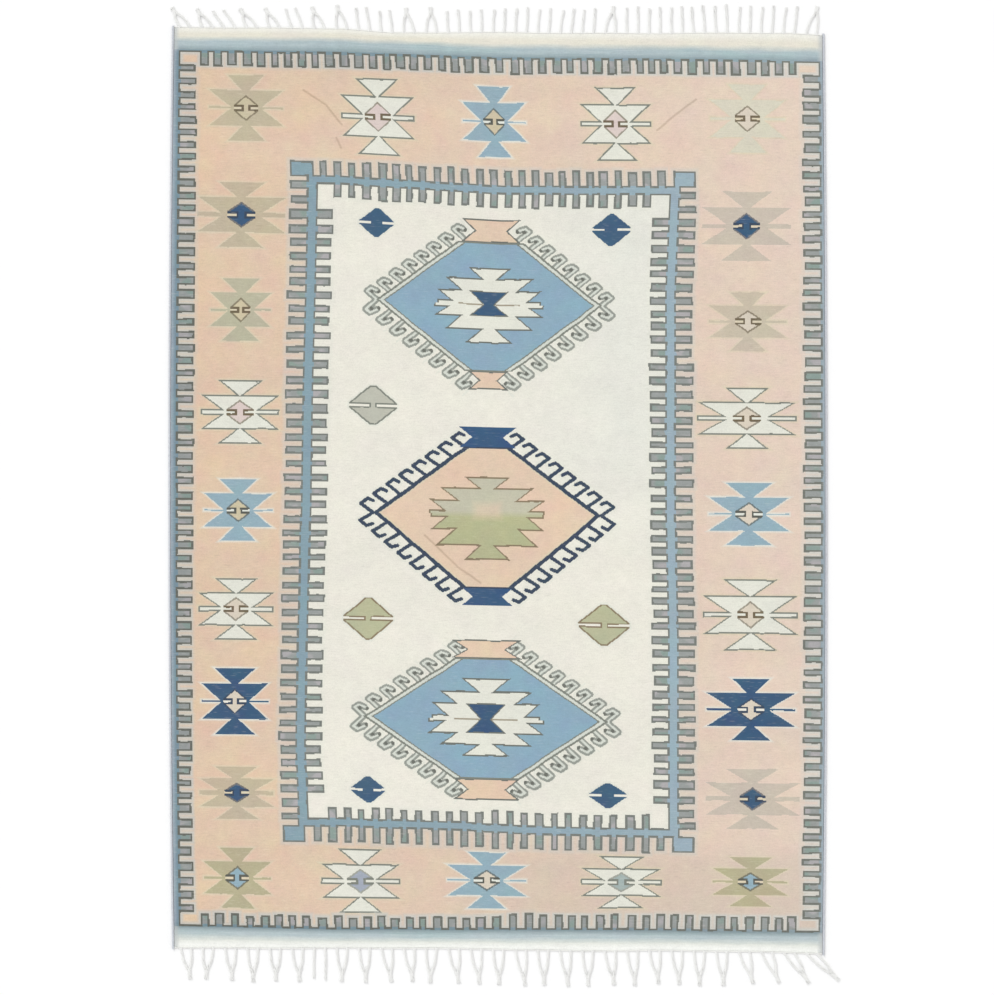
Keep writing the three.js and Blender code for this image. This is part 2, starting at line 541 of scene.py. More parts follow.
def medallion_group():
    inputs = dict.fromkeys(("X", "Y", "Wide", "High", "Flat", "Overrun", "Shrink"), "Float")
    inputs.update(dict.fromkeys(("Cap", "Rise", "Span"), "Vector"))
    names = ("Out", "End", "Open hook", "Curled hook", "Counter hook", "Eyes", "Cap", "Star",
             "Heart", "Seam")
    outputs = dict.fromkeys(names, "Float")
    tree, given, exit_node = group("Hooked medallion", inputs, outputs)
    x = abs(given["X"])
    y = abs(given["Y"])
    high = given["High"]

    # Along the slanting side, and out from it
    run = given["Wide"] - given["Flat"]
    side = maths("SQRT", run * run + high * high)
    from_tip = x - given["Wide"]
    along = (y * high - from_tip * run) / side
    out = (from_tip * high + y * run) / side

    # The hooks lean, so the lines between them lean as well
    pitch = (side + given["Overrun"]) / (hook_count - 1)
    rise = out * (1.0 - given["Shrink"])
    place_in_row = maths("FLOOR", (along + out * 0.28) / pitch + 0.17)
    which = most(least(place_in_row, hook_count - 1.0), 0.0)
    local = along - which * pitch
    eyes = []
    for eye_along, eye_out in hook_eyes:
        off_along = (local - eye_along * MM) * 0.8
        off_out = rise - eye_out * MM
        eyes.append(maths("SQRT", off_along * off_along + off_out * off_out))

    cap_height, cap_half, cap_waist = parts_of(tree, given["Cap"])
    in_cap = abs(y - high - cap_height * 0.5)
    half = cap_waist + in_cap * (cap_half - cap_waist) / (cap_height * 0.5)
    cap = most(in_cap - cap_height * 0.5, (x - half) * 0.7)

    low, middle, top = parts_of(tree, given["Rise"])
    low_half, middle_half, top_half = parts_of(tree, given["Span"])
    tip = tapered(x, y, middle - 4 * MM, top, 10 * MM, top_half, slant=0.9)
    upper = tapered(x, y, low - 3 * MM, middle, middle_half * 0.6, middle_half, slant=0.9)
    lower = tapered(x, y, 0.0, low, low_half * 0.67, low_half, slant=0.9)
    arms = most(y - arm_half, x - low_half - 3 * MM)
    stepped = least(tip, upper, lower, arms)
    heart = tapered(x, y, 0.0, low - 1 * MM, heart_half["waist"], heart_half["tip"],
                    overlap=10 * MM)
    seam = most(y - seam_half, seam_from - x, x - seam_to)
    values = {
        "Out": out,
        "End": y - high,
        "Open hook": bent(local, rise, open_hook),
        "Curled hook": bent(local, rise, curled_hook),
        "Counter hook": bent(local, rise, counter_hook),
        "Eyes": least(*eyes),
        "Cap": cap,
        "Star": stepped,
        "Heart": heart,
        "Seam": seam,
    }
    give(tree, exit_node, **values)
    return tree


medallion = medallion_group()

# %% [markdown]
# ## Wool
#
# The colour from the chart goes through one group that makes it wool: no two knots take the
# dye alike, each dye lot makes a band across the rug (the weavers call it *abrash*), and
# worn spots show as short pale and dark flecks along the rows.


# %% Wool
worn_pale = sRGB(236, 231, 218)
worn_dark = sRGB(120, 105, 85)


def wool_group():
    inputs = {"Colour": "Color", "Index": "Vector", "Chart": "Vector", "Wear": "Float"}
    outputs = {"Colour": "Color", "Roughness": "Float", "Fibres": "Float"}
    tree, given, exit_node = group("Wool", inputs, outputs)
    column, row, _ = parts_of(tree, given["Index"])
    dice = add_node(tree, "ShaderNodeTexWhiteNoise", {"Vector": given["Index"]})
    each = Term(tree, dice.outputs["Value"])
    lots = noise(tree, joined(tree, column * 0.0016, row * 0.016), scale=1.0, detail=2.0)
    cloud = noise(tree, given["Chart"], scale=9.0, detail=3.0)
    blotch = noise(tree, given["Chart"], scale=38.0, detail=1.0)
    other_cloud = noise(tree, joined(tree, column * 0.03, row * 0.03, 8.0), scale=1.0, detail=3.0)
    rows = noise(tree, joined(tree, column * 0.09, row * 0.75, 3.0), scale=1.0, detail=1.0)
    light = 1.0 + (each - 0.5) * 0.09 + (lots - 0.5) * 0.12 + (cloud - 0.5) * 0.12
    light = light + (rows - 0.5) * 0.13 + (blotch - 0.5) * 0.09
    worn = limited((rows - 0.6) * 7.0) * given["Wear"]
    dark = limited((0.37 - rows) * 7.0) * given["Wear"]
    spun = add_node(
        tree,
        "ShaderNodeHueSaturation",
        {
            "Color": given["Colour"],
            "Hue": 0.5 + (other_cloud - 0.5) * 0.07,
            "Saturation": 1.0 + (cloud - 0.5) * 0.3,
            "Value": light,
        },
    )
    colour = Term(tree, spun.outputs["Color"])
    colour = paint(worn * 0.2, worn_pale, colour)
    colour = paint(dark * 0.13, worn_dark, colour)
    fibres = noise(tree, given["Chart"], scale=900.0, detail=2.0)
    give(tree, exit_node, Colour=colour, Roughness=0.9 + 0.1 * each, Fibres=fibres)
    return tree


wool = wool_group()
print("node groups:", ", ".join(sorted(tree.name for tree in bpy.data.node_groups)))

# %% [markdown]
# ## What is drawn where
#
# The figures stand in plain tables: where each one is, how big it came out, and in which dyes.
# Every face of the mesh keeps the row of the figure nearest to it, so one material can draw
# twenty-four different stars.

# %% Figure tables
dyes = {
    "peach_left": sRGB(224, 197, 171),
    "peach_right": sRGB(228, 208, 192),
    "peach": sRGB(227, 202, 178),
    "ivory": sRGB(236, 233, 221),
    "white": sRGB(229, 229, 217),
    "cream_top": sRGB(231, 227, 213),
    "cream_bottom": sRGB(227, 230, 222),
    "light_blue": sRGB(143, 173, 191),
    "sky": sRGB(150, 176, 188),
    "haze": sRGB(164, 172, 185),
    "navy": sRGB(66, 94, 124),
    "ink": sRGB(69, 98, 126),
    "sage": sRGB(196, 184, 158),
    "dun": sRGB(195, 182, 158),
    "stone": sRGB(202, 191, 176),
    "green_sage": sRGB(188, 184, 160),
    "mint": sRGB(216, 211, 192),
    "pale_dun": sRGB(203, 191, 171),
    "pale_sage": sRGB(196, 193, 172),
    "olive": sRGB(184, 177, 146),
    "leaf": sRGB(183, 184, 145),
    "moss": sRGB(186, 187, 155),
    "grey_green": sRGB(190, 190, 177),
    "blue_left": sRGB(137, 162, 173),
    "blue_right": sRGB(169, 188, 198),
    "tooth": sRGB(156, 160, 158),
    "tooth_green": sRGB(140, 160, 152),
    "tooth_pale": sRGB(180, 176, 178),
    "charcoal": sRGB(94, 96, 89),
    "outer_line": sRGB(106, 108, 101),
    "right_line": sRGB(120, 123, 116),
    "inner_line": sRGB(124, 128, 123),
    "brown": sRGB(140, 126, 102),
    "grey": sRGB(130, 134, 125),
    "slate": sRGB(64, 77, 95),
    "band_shade": sRGB(80, 82, 60),
    "rose": sRGB(220, 204, 198),
    "oat": sRGB(219, 208, 191),
    "tan": sRGB(206, 194, 164),
    "halo": sRGB(219, 207, 182),
    "umber": sRGB(116, 104, 84),
    "mist": sRGB(152, 156, 148),
    "frost": sRGB(214, 218, 208),
    "ash": sRGB(114, 118, 112),
    "cap_blue": sRGB(62, 92, 128),
    "crease_shade": sRGB(158, 134, 110),
    "ice": sRGB(228, 231, 222),
    "gap": sRGB(208, 205, 197),
    "gap_left": sRGB(200, 199, 192),
    "gap_right": sRGB(211, 211, 204),
    "teal": sRGB(166, 181, 178),
    "lilac": sRGB(172, 182, 192),
    "greyed_peach": sRGB(206, 191, 176),
    "greyed_ivory": sRGB(229, 230, 221),
    "end_top": sRGB(177, 193, 197),
    "end_bottom": sRGB(186, 200, 203),
    "end_green": sRGB(164, 190, 190),
    "end_pale": sRGB(214, 222, 222),
    "end_deep": sRGB(146, 170, 178),
    "end_pile_shadow": sRGB(134, 152, 158),
    "end_side": sRGB(193, 198, 198),
    "pale_and_lit_edge": sRGB(249, 250, 245),
    "cord": sRGB(210, 213, 219),
    "fringe": sRGB(246, 246, 244),
    "header": sRGB(250, 250, 246),
}

# kind: fill, line, halo, centre, ring, slit, half the height of the arms in mm
star_kinds = {
    "sage": ("sage", "sage", "halo", "tan", "umber", "halo", 2.4),
    "white_pink": ("white", "grey", "halo", "rose", "umber", "white", 7.0),
    "white_grey": ("white", "grey", "halo", "haze", "grey", "white", 7.0),
    "white_teal": ("white", "grey", "halo", "teal", "grey", "white", 7.0),
    "white_oat": ("white", "grey", "halo", "oat", "umber", "white", 7.0),
    "blue": ("sky", "sky", "ice", "tan", "charcoal", "ice", 1.8),
    "blue_oat": ("sky", "sky", "ice", "oat", "charcoal", "ice", 1.8),
    "mint": ("mint", "mint", "halo", "oat", "umber", "halo", 3.0),
    "dun_navy": ("dun", "dun", "halo", "navy", "slate", "halo", 5.0),
    "stone_navy": ("stone", "stone", "peach_right", "navy", "slate", "halo", 5.0),
    "green_sage": ("green_sage", "green_sage", "halo", "tan", "umber", "halo", 2.4),
    "pale_dun": ("pale_dun", "pale_dun", "halo", "oat", "umber", "halo", 2.4),
    "navy": ("navy", "navy", "ice", "oat", "slate", "ivory", 2.2),
    "olive": ("olive", "olive", "halo", "sky", "charcoal", "halo", 2.4),
}

# u, v, half-width, half-height, half-width of the caps, all in mm, and the kind
stars = [
    (-619, 921, 88, 83, 43, "sage"),
    (-300, 907, 90, 96, 53, "white_pink"),
    (-15, 908, 77, 86, 40, "blue"),
    (283, 905, 87, 90, 51, "white_pink"),
    (607, 921, 92, 84, 46, "mint"),
    (-631, 655, 103, 78, 53, "dun_navy"),
    (-629, 426, 72, 75, 44, "green_sage"),
    (-627, 179, 95, 77, 54, "white_pink"),
    (-630, -58, 83, 75, 44, "blue"),
    (-633, -302, 93, 76, 54, "white_oat"),
    (-635, -530, 84, 82, 51, "navy"),
    (-633, -756, 92, 64, 52, "dun_navy"),
    (-636, -960, 83, 71, 42, "olive"),
    (-335, -963, 96, 75, 54, "white_grey"),
    (-28, -956, 95, 68, 46, "blue_oat"),
    (299, -956, 98, 65, 57, "white_teal"),
    (615, -951, 92, 61, 51, "olive"),
    (603, 657, 110, 85, 61, "stone_navy"),
    (609, 423, 93, 72, 43, "pale_dun"),
    (606, 185, 120, 75, 53, "white_oat"),
    (611, -50, 96, 76, 55, "blue_oat"),
    (612, -296, 116, 87, 66, "white_oat"),
    (613, -527, 109, 75, 47, "navy"),
    (618, -745, 116, 73, 65, "stone_navy"),
]

# u, v, half-width, half-height in mm, fill, line
diamonds = [
    (-306, 645, 43, 35, "ink", "ink"),
    (271, 646, 48, 39, "ink", "ink"),
    (-305, 201, 59, 48, "grey_green", "grey"),
    (-310, -321, 60, 52, "moss", "brown"),
    (257, -326, 62, 51, "moss", "brown"),
    (-311, -743, 41, 33, "ink", "ink"),
    (265, -742, 46, 31, "ink", "ink"),
]

# The halves of the medallions, in mm from the middle (u, v):
# u, v, kind, to the side tip, to the flat end, half of the flat end,
# cap: height, half-width, half-width of its waist,
# star: heights of its three steps, then their half-widths
medallion_halves = [
    (-24, 458, 0, 276, 154, 78, 56, 71, 40, 32, 62, 88, 122, 103, 46),
    (-24, 458, 0, 276, 165, 56, 44, 48, 22, 28, 60, 93, 129, 103, 53),
    (-24, -59, 1, 278, 165, 57, 49, 67, 36, 32, 62, 89, 135, 108, 49),
    (-24, -59, 1, 278, 182, 61, 42, 59, 33, 36, 76, 110, 132, 118, 50),
    (-26, -562, 0, 290, 149, 72, 44, 82, 46, 37, 66, 97, 124, 105, 52),
    (-26, -562, 0, 290, 147, 76, 50, 78, 46, 34, 61, 88, 133, 104, 51),
]
# Corners of the creases, drawn as painted shade, in mm
creases = [
    [(-480, 968), (-426, 932), (-390, 884)],
    [(-404, 850), (-392, 824)],
    [(384, 890), (430, 930), (482, 966)],
    [(-175, -113), (-95, -190), (-40, -228)],
]
print(len(stars), "stars,", len(diamonds), "small hexagons and", len(medallion_halves) // 2, "medallions")

# %% [markdown]
# ## Materials
#
# One material for each part of the chart: the flat-woven ends, the border and the field. Each
# reads the knot grid, draws its shapes from back to front, and hands the result to the wool.

# %% Materials
outer = {"left": 782 * MM, "right": 789 * MM, "top": 1065 * MM, "bottom": -1076 * MM}
outer_band = 6 * MM
outer_gap_depth = 44 * MM
pile_top = outer["top"] + 1 * MM
pile_bottom = outer["bottom"] - 1 * MM
# Where the inner comb turns its corners: a block and the neck it stands on, in mm from the
# middle lines, as from and to past the side, from and to past the end
corner_block = (-3, 53, 7.5, 48)
corner_neck = (-3, 15, -20, 30)
# Where the blue of the flat-woven ends gives way to the skirt, and the skirt to its paler edge, partly
# painted light
skirt = {"top": 1092 * MM, "bottom": -1101 * MM, "pale_and_lit_edge": 1104 * MM}
rib_spacing = 1.6 * MM
warp_spacing = 3.4 * MM
knot_relief = 0.9 * MM
# What the figures are drawn with: the pale halo round them, their outline, the outline of a
# star's heart and the rim of the slits
star_width = {"halo": 6 * MM, "line": 3.8 * MM, "heart": 3.4 * MM, "rim": 5.2 * MM}
small_width = {"halo": 4 * MM, "line": 3.6 * MM, "rim": 3.4 * MM}
# A small hexagon less than this from its middle to its side has shorter slits
narrow_hexagon = 55 * MM
# The peach patch in the middle star: how high it sits, and half its width and height
patch_rise = 8 * MM
patch_half = (42 * MM, 28 * MM)
# Half the widths of the lines that a medallion's hooks are drawn with
hook_half = {"halo": 10 * MM, "curled": 7.8 * MM, "open": 4.3 * MM, "core": 2.5 * MM,
             "eye": 3.8 * MM, "counter": 2.4 * MM}
# How far inside a medallion's edge each stripe of the edge starts, and the line at its flat ends
edge_start = {"band": 3 * MM, "line": 9.4 * MM, "ground": 12.4 * MM, "end": 3.4 * MM}


def attribute(tree, name, output="Vector"):
    node = add_node(tree, "ShaderNodeAttribute", attribute_name=name)
    return Term(tree, node.outputs[output])


def new_material(name):
    material = bpy.data.materials.new(name)
    material.use_nodes = True
    tree = material.node_tree
    shader = tree.nodes["Principled BSDF"]
    shader.inputs["Specular IOR Level"].default_value = 0.15
    shader.inputs["Sheen Weight"].default_value = 0.05
    shader.inputs["Sheen Roughness"].default_value = 0.6
    return material, tree, shader


def start_chart(name):
    material, tree, shader = new_material(name)
    chart_node = add_node(tree, "ShaderNodeUVMap", uv_map="chart")
    chart = Term(tree, chart_node.outputs["UV"])
    return material, tree, shader, chart, use(tree, knots, Chart=chart)


def finish_wool(tree, shader, chart, grid, colour, wear):
    spun = use(tree, wool, Colour=colour, Index=grid["Index"], Chart=chart, Wear=wear)
    feed(tree, spun["Colour"], shader.inputs["Base Color"])
    feed(tree, spun["Roughness"], shader.inputs["Roughness"])
    height = 0.6 * grid["Dome"] + 0.4 * spun["Fibres"]
    inputs = {"Height": height, "Strength": 0.5, "Distance": knot_relief}
    bump = add_node(tree, "ShaderNodeBump", inputs)
    tree.links.new(bump.outputs["Normal"], shader.inputs["Normal"])


def draw_comb(distance, colour, gap_colour, tooth_colour, line_colour, pale=0.6):
    """Teeth of one comb over a colour, with paler gaps between them."""
    colour = paint(limited(1.3 - distance / (8 * MM)) * pale, gap_colour, colour)
    colour = paint(below(distance, 0.0), line_colour, colour)
    return paint(below(distance, -comb_line), tooth_colour, colour)


def tooth_dye(tree, u, v):
    """The grey of the teeth, which came out of the dye pot uneven."""
    patches = noise(tree, joined(tree, u * 26.0, v * 26.0, 9.0), scale=1.0, detail=0.0)
    grey = paint(limited((0.43 - patches) * 10.0) * 0.8, dyes["tooth_green"], dyes["tooth"])
    return paint(limited((patches - 0.58) * 10.0) * 0.8, dyes["tooth_pale"], grey)


def blue_across(u):
    """The comb's blue, paler toward the right."""
    across = limited(u / rug_width + 0.5)
    return paint(across * across, dyes["blue_right"], dyes["blue_left"])


def inner_lines(u, v):
    """The middle lines of the inner comb, where the weaver drifted off the chart a little."""
    left = spine["left"] - limited(v / (-600 * MM)) * (4 * MM)
    bottom = spine["bottom"] - limited(0.5 + u / (200 * MM)) * (6 * MM)
    return left, spine["right"] + 5 * MM, spine["top"], bottom


def within(past_side, past_end, limits):
    """Distance to a rectangle given as from and to past the side, from and to past the end."""
    side_from, side_to, end_from, end_to = [limit * MM for limit in limits]
    return most(past_side - side_to, past_end - end_to, side_from - past_side, end_from - past_end)


def crease_shaded(u, v, colour):
    """Painted shade along the faint creases where the rug has lain folded."""
    mark = least(*[bent(u, v, corners) for corners in creases])
    return paint(limited(1.4 - mark / (2.6 * MM)) * 0.4, dyes["crease_shade"], colour)


def border_material():
    material, tree, shader, chart, grid = start_chart("border wool")
    u, v = grid["U"], grid["V"]
    blue = blue_across(u)

    colour = paint(limited(u / rug_width + 0.5), dyes["peach_right"], dyes["peach_left"])
    greyed = limited((-850 * MM - v) / (70 * MM)) * limited(u / (500 * MM) + 0.6)
    colour = paint(greyed * 0.55, dyes["greyed_peach"], colour)
    at_u, at_v, cap = parts_of(tree, attribute(tree, "figure_at"))
    wide, high, arms = parts_of(tree, attribute(tree, "figure_size"))
    shape = use(tree, star, X=u - at_u, Y=v - at_v, Wide=wide, High=high, Cap=cap, Arms=arms)
    body, centre, slit = shape["Body"], shape["Centre"], shape["Slit"]
    in_centre = below(centre, 0.0)
    halo = limited(1.0 - body / star_width["halo"]) * 0.9
    colour = paint(halo, attribute(tree, "figure_halo", "Color"), colour)
    colour = paint(below(body, 0.0), attribute(tree, "figure_line", "Color"), colour)
    colour = paint(below(body, -star_width["line"]), attribute(tree, "figure_fill", "Color"), colour)
    colour = paint(in_centre * 0.75, attribute(tree, "figure_ring", "Color"), colour)
    in_heart = below(centre, -star_width["heart"])
    colour = paint(in_heart, attribute(tree, "figure_centre", "Color"), colour)
    ring = below(slit, star_width["rim"]) * in_centre
    colour = paint(ring, attribute(tree, "figure_ring", "Color"), colour)
    colour = paint(below(slit, 0.0) * in_centre, attribute(tree, "figure_slit", "Color"), colour)

    # The outer comb: a band round the edge with teeth on all four sides
    on_right = maths("GREATER_THAN", u, 0.0)
    on_top = maths("GREATER_THAN", v, 0.0)
    from_side = outer["left"] + on_right * (outer["right"] - outer["left"]) - abs(u)
    from_end = least(outer["top"] - v, v - outer["bottom"])
    # The teeth on the left are shorter, the more so toward the bottom, and so are those at the
    # left of the bottom row
    shorter = (1.0 - on_right) * (0.2 + 0.8 * limited(v / (-800 * MM))) * (10 * MM)
    side_teeth = teeth(tree, from_side + shorter, v, outer_row["side"], on_right, on_right + 1.3,
                       half=10.2, length=46)
    shorter = (1.0 - on_top) * limited(0.5 - u / (100 * MM)) * (9 * MM)
    end_teeth = teeth(tree, from_end + shorter, u, outer_row["end"], on_top, on_top + 7.1,
                      half=10.8, length=39)
    comb_shape = least(from_side - comb_line, from_end - comb_line, side_teeth, end_teeth)
    band = least(from_side, from_end)
    in_band = below(band, outer_band)
    across = limited(u / rug_width + 0.5)
    tooth_colour = paint((1.0 - across) * 0.1, dyes["slate"], tooth_dye(tree, u, v))
    tooth_colour = paint(in_band, blue, tooth_colour)
    # Painted shade: the outer 6 mm band round the pile's edge is darkened, toward slate on the left and
    # olive-grey on the right.
    darkening = paint(across, dyes["band_shade"], dyes["slate"])
    tooth_colour = paint(in_band * 0.24, darkening, tooth_colour)
    gap = paint(across, dyes["gap_right"], dyes["gap_left"])
    between_teeth = limited((outer_gap_depth - band) / (4 * MM))
    line = paint(across, dyes["right_line"], dyes["outer_line"])
    pale = 0.4 + 0.5 * between_teeth
    colour = draw_comb(comb_shape, colour, gap, tooth_colour, line, pale=pale)

    # The outer half of the inner comb
    left, right, top, bottom = inner_lines(u, v)
    past_side = most(left - u, u - right)
    past_end = most(v - top, bottom - v)
    out_side = past_side - spine_half["side"]
    out_end = past_end - spine_half["end"]
    side_teeth = teeth(tree, out_side, v, inner_row["side"], on_right, on_right + 11.7,
                       half=10, length=40)
    end_teeth = teeth(tree, out_end, u, inner_row["end"], on_top, on_top + 17.9,
                      half=10.2, length=36)
    bar = most(out_side, out_end)
    corner = within(past_side, past_end, corner_block)
    neck = within(past_side, past_end, corner_neck)
    comb_shape = least(bar, side_teeth, end_teeth, corner, neck)
    is_blue = below(least(bar, corner, neck), 0.0)
    tooth_colour = paint(is_blue, blue, tooth_dye(tree, u, v))
    colour = draw_comb(comb_shape, colour, dyes["gap"], tooth_colour, dyes["inner_line"])
    # A lilac-grey tint toward the cord: partly the pale tint the edge shows, partly painted light that
    # lifts the shadow in the gap beside the cord.
    from_cord = half_chart - abs(u)
    cord_tint_and_light = limited(1.0 - from_cord / (9 * MM)) * (0.75 - 0.25 * across)
    colour = paint(cord_tint_and_light, dyes["lilac"], colour)
    finish_wool(tree, shader, chart, grid, crease_shaded(u, v, colour), wear=0.6)
    return material


def field_material():
    material, tree, shader, chart, grid = start_chart("field wool")
    u, v = grid["U"], grid["V"]
    greyed = limited(u / (300 * MM)) * limited((v + 200 * MM) / (300 * MM))
    colour = paint(greyed * 0.7, dyes["greyed_ivory"], dyes["ivory"])

    # Small hexagons
    at_u, at_v, _ = parts_of(tree, attribute(tree, "figure_at"))
    wide, high, _ = parts_of(tree, attribute(tree, "figure_size"))
    small = use(tree, hexagon, X=u - at_u, Y=v - at_v, Wide=wide, High=high, Blunt=0.12,
                Neck=0.15 + 0.18 * below(wide, narrow_hexagon))
    line = attribute(tree, "figure_line", "Color")
    body = most(small["Body"], abs(v - at_v) - high)
    inside = below(body, 0.0)
    colour = paint(below(body, small_width["halo"]), dyes["white"], colour)
    colour = paint(inside, line, colour)
    in_fill = below(body, -small_width["line"])
    colour = paint(in_fill, attribute(tree, "figure_fill", "Color"), colour)
    colour = paint(below(small["Slit"], small_width["rim"]) * inside, line, colour)
    colour = paint(below(small["Slit"], 0.0) * inside, dyes["ivory"], colour)

    # Medallions; kind 0 is light blue with curled ivory hooks, kind 1 peach with open dark ones
    at_u, at_v, kind = parts_of(tree, attribute(tree, "medallion_at"))
    wide, high, flat = parts_of(tree, attribute(tree, "medallion_size"))
    plain = 1.0 - kind
    big = use(tree, medallion, X=u - at_u, Y=v - at_v, Wide=wide, High=high, Flat=flat,
              Overrun=12.6 * MM * plain, Shrink=plain * (0.04 + 0.1 * below(v, at_v)),
              Cap=attribute(tree, "medallion_cap"), Rise=attribute(tree, "medallion_rise"),
              Span=attribute(tree, "medallion_span"))

    hook = big["Curled hook"] + kind * (big["Open hook"] - big["Curled hook"])
    hook_line = paint(kind, dyes["slate"], dyes["mist"])
    line_half = hook_half["curled"] - kind * (hook_half["curled"] - hook_half["open"])
    colour = paint(below(hook, hook_half["halo"]) * 0.8, dyes["white"], colour)
    colour = paint(below(hook, line_half), hook_line, colour)
    core = paint(kind, dyes["slate"], dyes["frost"])
    colour = paint(below(hook, hook_half["core"]), core, colour)
    colour = paint(below(big["Eyes"], hook_half["eye"]) * plain * 0.75, dyes["charcoal"], colour)
    colour = paint(below(big["Counter hook"], hook_half["counter"]) * plain, dyes["white"], colour)

    cap_line = paint(kind, dyes["cap_blue"], dyes["ash"])
    cap_fill = paint(kind, dyes["cap_blue"], dyes["peach"])
    colour = paint(below(big["Cap"], 1 * MM), cap_line, colour)
    colour = paint(below(big["Cap"], -2.6 * MM), cap_fill, colour)

    # The edge: a line, a band and a line along the slanting sides, one line along the flat ends
    out, end = big["Out"], big["End"]
    edge_out = paint(kind, dyes["slate"], dyes["grey"])
    band = paint(kind, dyes["slate"], dyes["frost"])
    edge_in = paint(kind, dyes["halo"], dyes["grey"])
    ground = paint(kind, dyes["peach"], dyes["light_blue"])
    colour = paint(below(most(out - 1.6 * MM * plain, end), 0.0), edge_out, colour)
    for stripe, dye in (("band", band), ("line", edge_in), ("ground", ground)):
        inside_stripe = most(out + edge_start[stripe], end + edge_start["end"])
        colour = paint(below(inside_stripe, 0.0), dye, colour)

    inner, heart = big["Star"], big["Heart"]
    star_line = paint(kind, dyes["brown"], dyes["ash"])
    down = limited(0.5 - (v - at_v) / (16 * MM))
    two_tone = paint(down, dyes["leaf"], dyes["pale_sage"])
    star_fill = paint(kind, two_tone, dyes["white"])
    in_star = below(inner, -1 * MM)
    colour = paint(below(inner, 3 * MM), star_line, colour)
    colour = paint(in_star, star_fill, colour)
    colour = paint(below(big["Seam"], 0.0) * in_star * plain * 0.8, dyes["brown"], colour)
    colour = paint(below(heart, 2 * MM) * in_star * plain, star_line, colour)
    colour = paint(below(heart, -1 * MM) * in_star * plain, dyes["navy"], colour)
    patch = most(abs(u - at_u) - patch_half[0], abs(v - at_v - patch_rise) - patch_half[1])
    colour = paint(limited(patch * (-0.05 / MM)) * kind * in_star * 0.5, dyes["peach"], colour)

    # The inner half of the inner comb
    left, right, top, bottom = inner_lines(u, v)
    in_side = least(u - left, right - u)
    in_end = least(top - v, v - bottom)
    out_side = in_side - spine_half["side"]
    out_end = in_end - spine_half["end"]
    on_right = maths("GREATER_THAN", u, 0.0)
    on_top = maths("GREATER_THAN", v, 0.0)
    side_teeth = teeth(tree, out_side, v, inner_row["side"], on_right, on_right + 11.7,
                       half=10, length=37, skip=2)
    shorter = (1.0 - on_top) * limited(u / (-60 * MM)) * (7 * MM)
    end_teeth = teeth(tree, out_end + shorter, u, inner_row["end"], on_top, on_top + 17.9,
                      half=10.2, length=32, skip=1)
    bar = least(out_side, out_end)
    comb_shape = least(bar, side_teeth, end_teeth)
    tooth_colour = paint(below(bar, 0.0), blue_across(u), tooth_dye(tree, u, v))
    colour = draw_comb(comb_shape, colour, dyes["white"], tooth_colour, dyes["inner_line"])
    finish_wool(tree, shader, chart, grid, crease_shaded(u, v, colour), wear=0.35)
    return material


def end_material():
    """Flat-woven ends: a cream skirt and a blue band, with the wefts showing as fine ribs."""
    material, tree, shader, chart, grid = start_chart("flat-woven ends")
    u, v, _ = parts_of(tree, chart)
    waver = noise(tree, joined(tree, u * 14.0, v * 60.0), scale=1.0, detail=3.0)
    line = least(skirt["top"] - v, v - skirt["bottom"]) + (waver - 0.5) * (9 * MM)
    at_top = maths("GREATER_THAN", v, 0.0)
    blue = paint(at_top, dyes["end_top"], dyes["end_bottom"])
    cream = paint(at_top, dyes["cream_top"], dyes["cream_bottom"])
    # The skirt is painted paler toward its outer edge: partly its own paler tone, partly painted light
    # that lifts the shade along the end of the rug.
    pale_and_lit_edge = limited((abs(v) - skirt["pale_and_lit_edge"]) / (10 * MM + at_top * (4 * MM)))
    cream = paint(pale_and_lit_edge * (0.85 - 0.25 * at_top), dyes["pale_and_lit_edge"], cream)
    streak = noise(tree, joined(tree, u * 7.0, v * 900.0), scale=1.0, detail=2.0)
    drifting = noise(tree, joined(tree, u * 3.0, v * 34.0, 5.0), scale=1.0, detail=3.0)
    blue = paint(limited((drifting - 0.5) * 6.0) * 0.5, dyes["end_green"], blue)
    blue = paint(limited((streak - 0.56) * 8.0) * 0.5, dyes["end_pale"], blue)
    blue = paint(limited((0.42 - streak) * 8.0) * 0.5, dyes["end_deep"], blue)
    # Painted shadow: the blue band darkens within 12 mm of the pile, as if shaded by the pile's raised
    # edge.
    from_pile = least(abs(v - pile_top), abs(v - pile_bottom))
    blue = paint(limited(1.0 - from_pile / (12 * MM)) * 0.8, dyes["end_pile_shadow"], blue)
    edge = limited((line + 6 * MM) / (13 * MM))
    colour = paint(edge, blue, cream)
    beside_cord = limited((abs(u) - 780 * MM) / (9 * MM))
    colour = paint(beside_cord * 0.7, dyes["end_side"], colour)
    ribs = maths("SINE", v * (2 * math.pi / rib_spacing))
    warps = maths("SINE", u * (2 * math.pi / warp_spacing))
    spun = use(tree, wool, Colour=colour, Index=grid["Index"], Chart=chart, Wear=0.25)
    feed(tree, spun["Colour"], shader.inputs["Base Color"])
    feed(tree, spun["Roughness"], shader.inputs["Roughness"])
    height = 0.5 * ribs + 0.3 * warps + spun["Fibres"]
    bump = add_node(tree, "ShaderNodeBump", {"Height": height, "Strength": 0.4, "Distance": 0.4 * MM})
    tree.links.new(bump.outputs["Normal"], shader.inputs["Normal"])
    return material


rug_materials = [border_material(), field_material(), end_material()]
for material in rug_materials:
    print(material.name, "has", len(material.node_tree.nodes), "nodes of its own")

# %% [markdown]
# ## The rug
#
# A closed slab: a grid for the face, the same grid for the back, and a wall round the edge.
# The knotted part stands higher than the flat-woven ends and rises and falls a little, as a
# sheared pile does. The grid's lines fall on the borders between the materials.


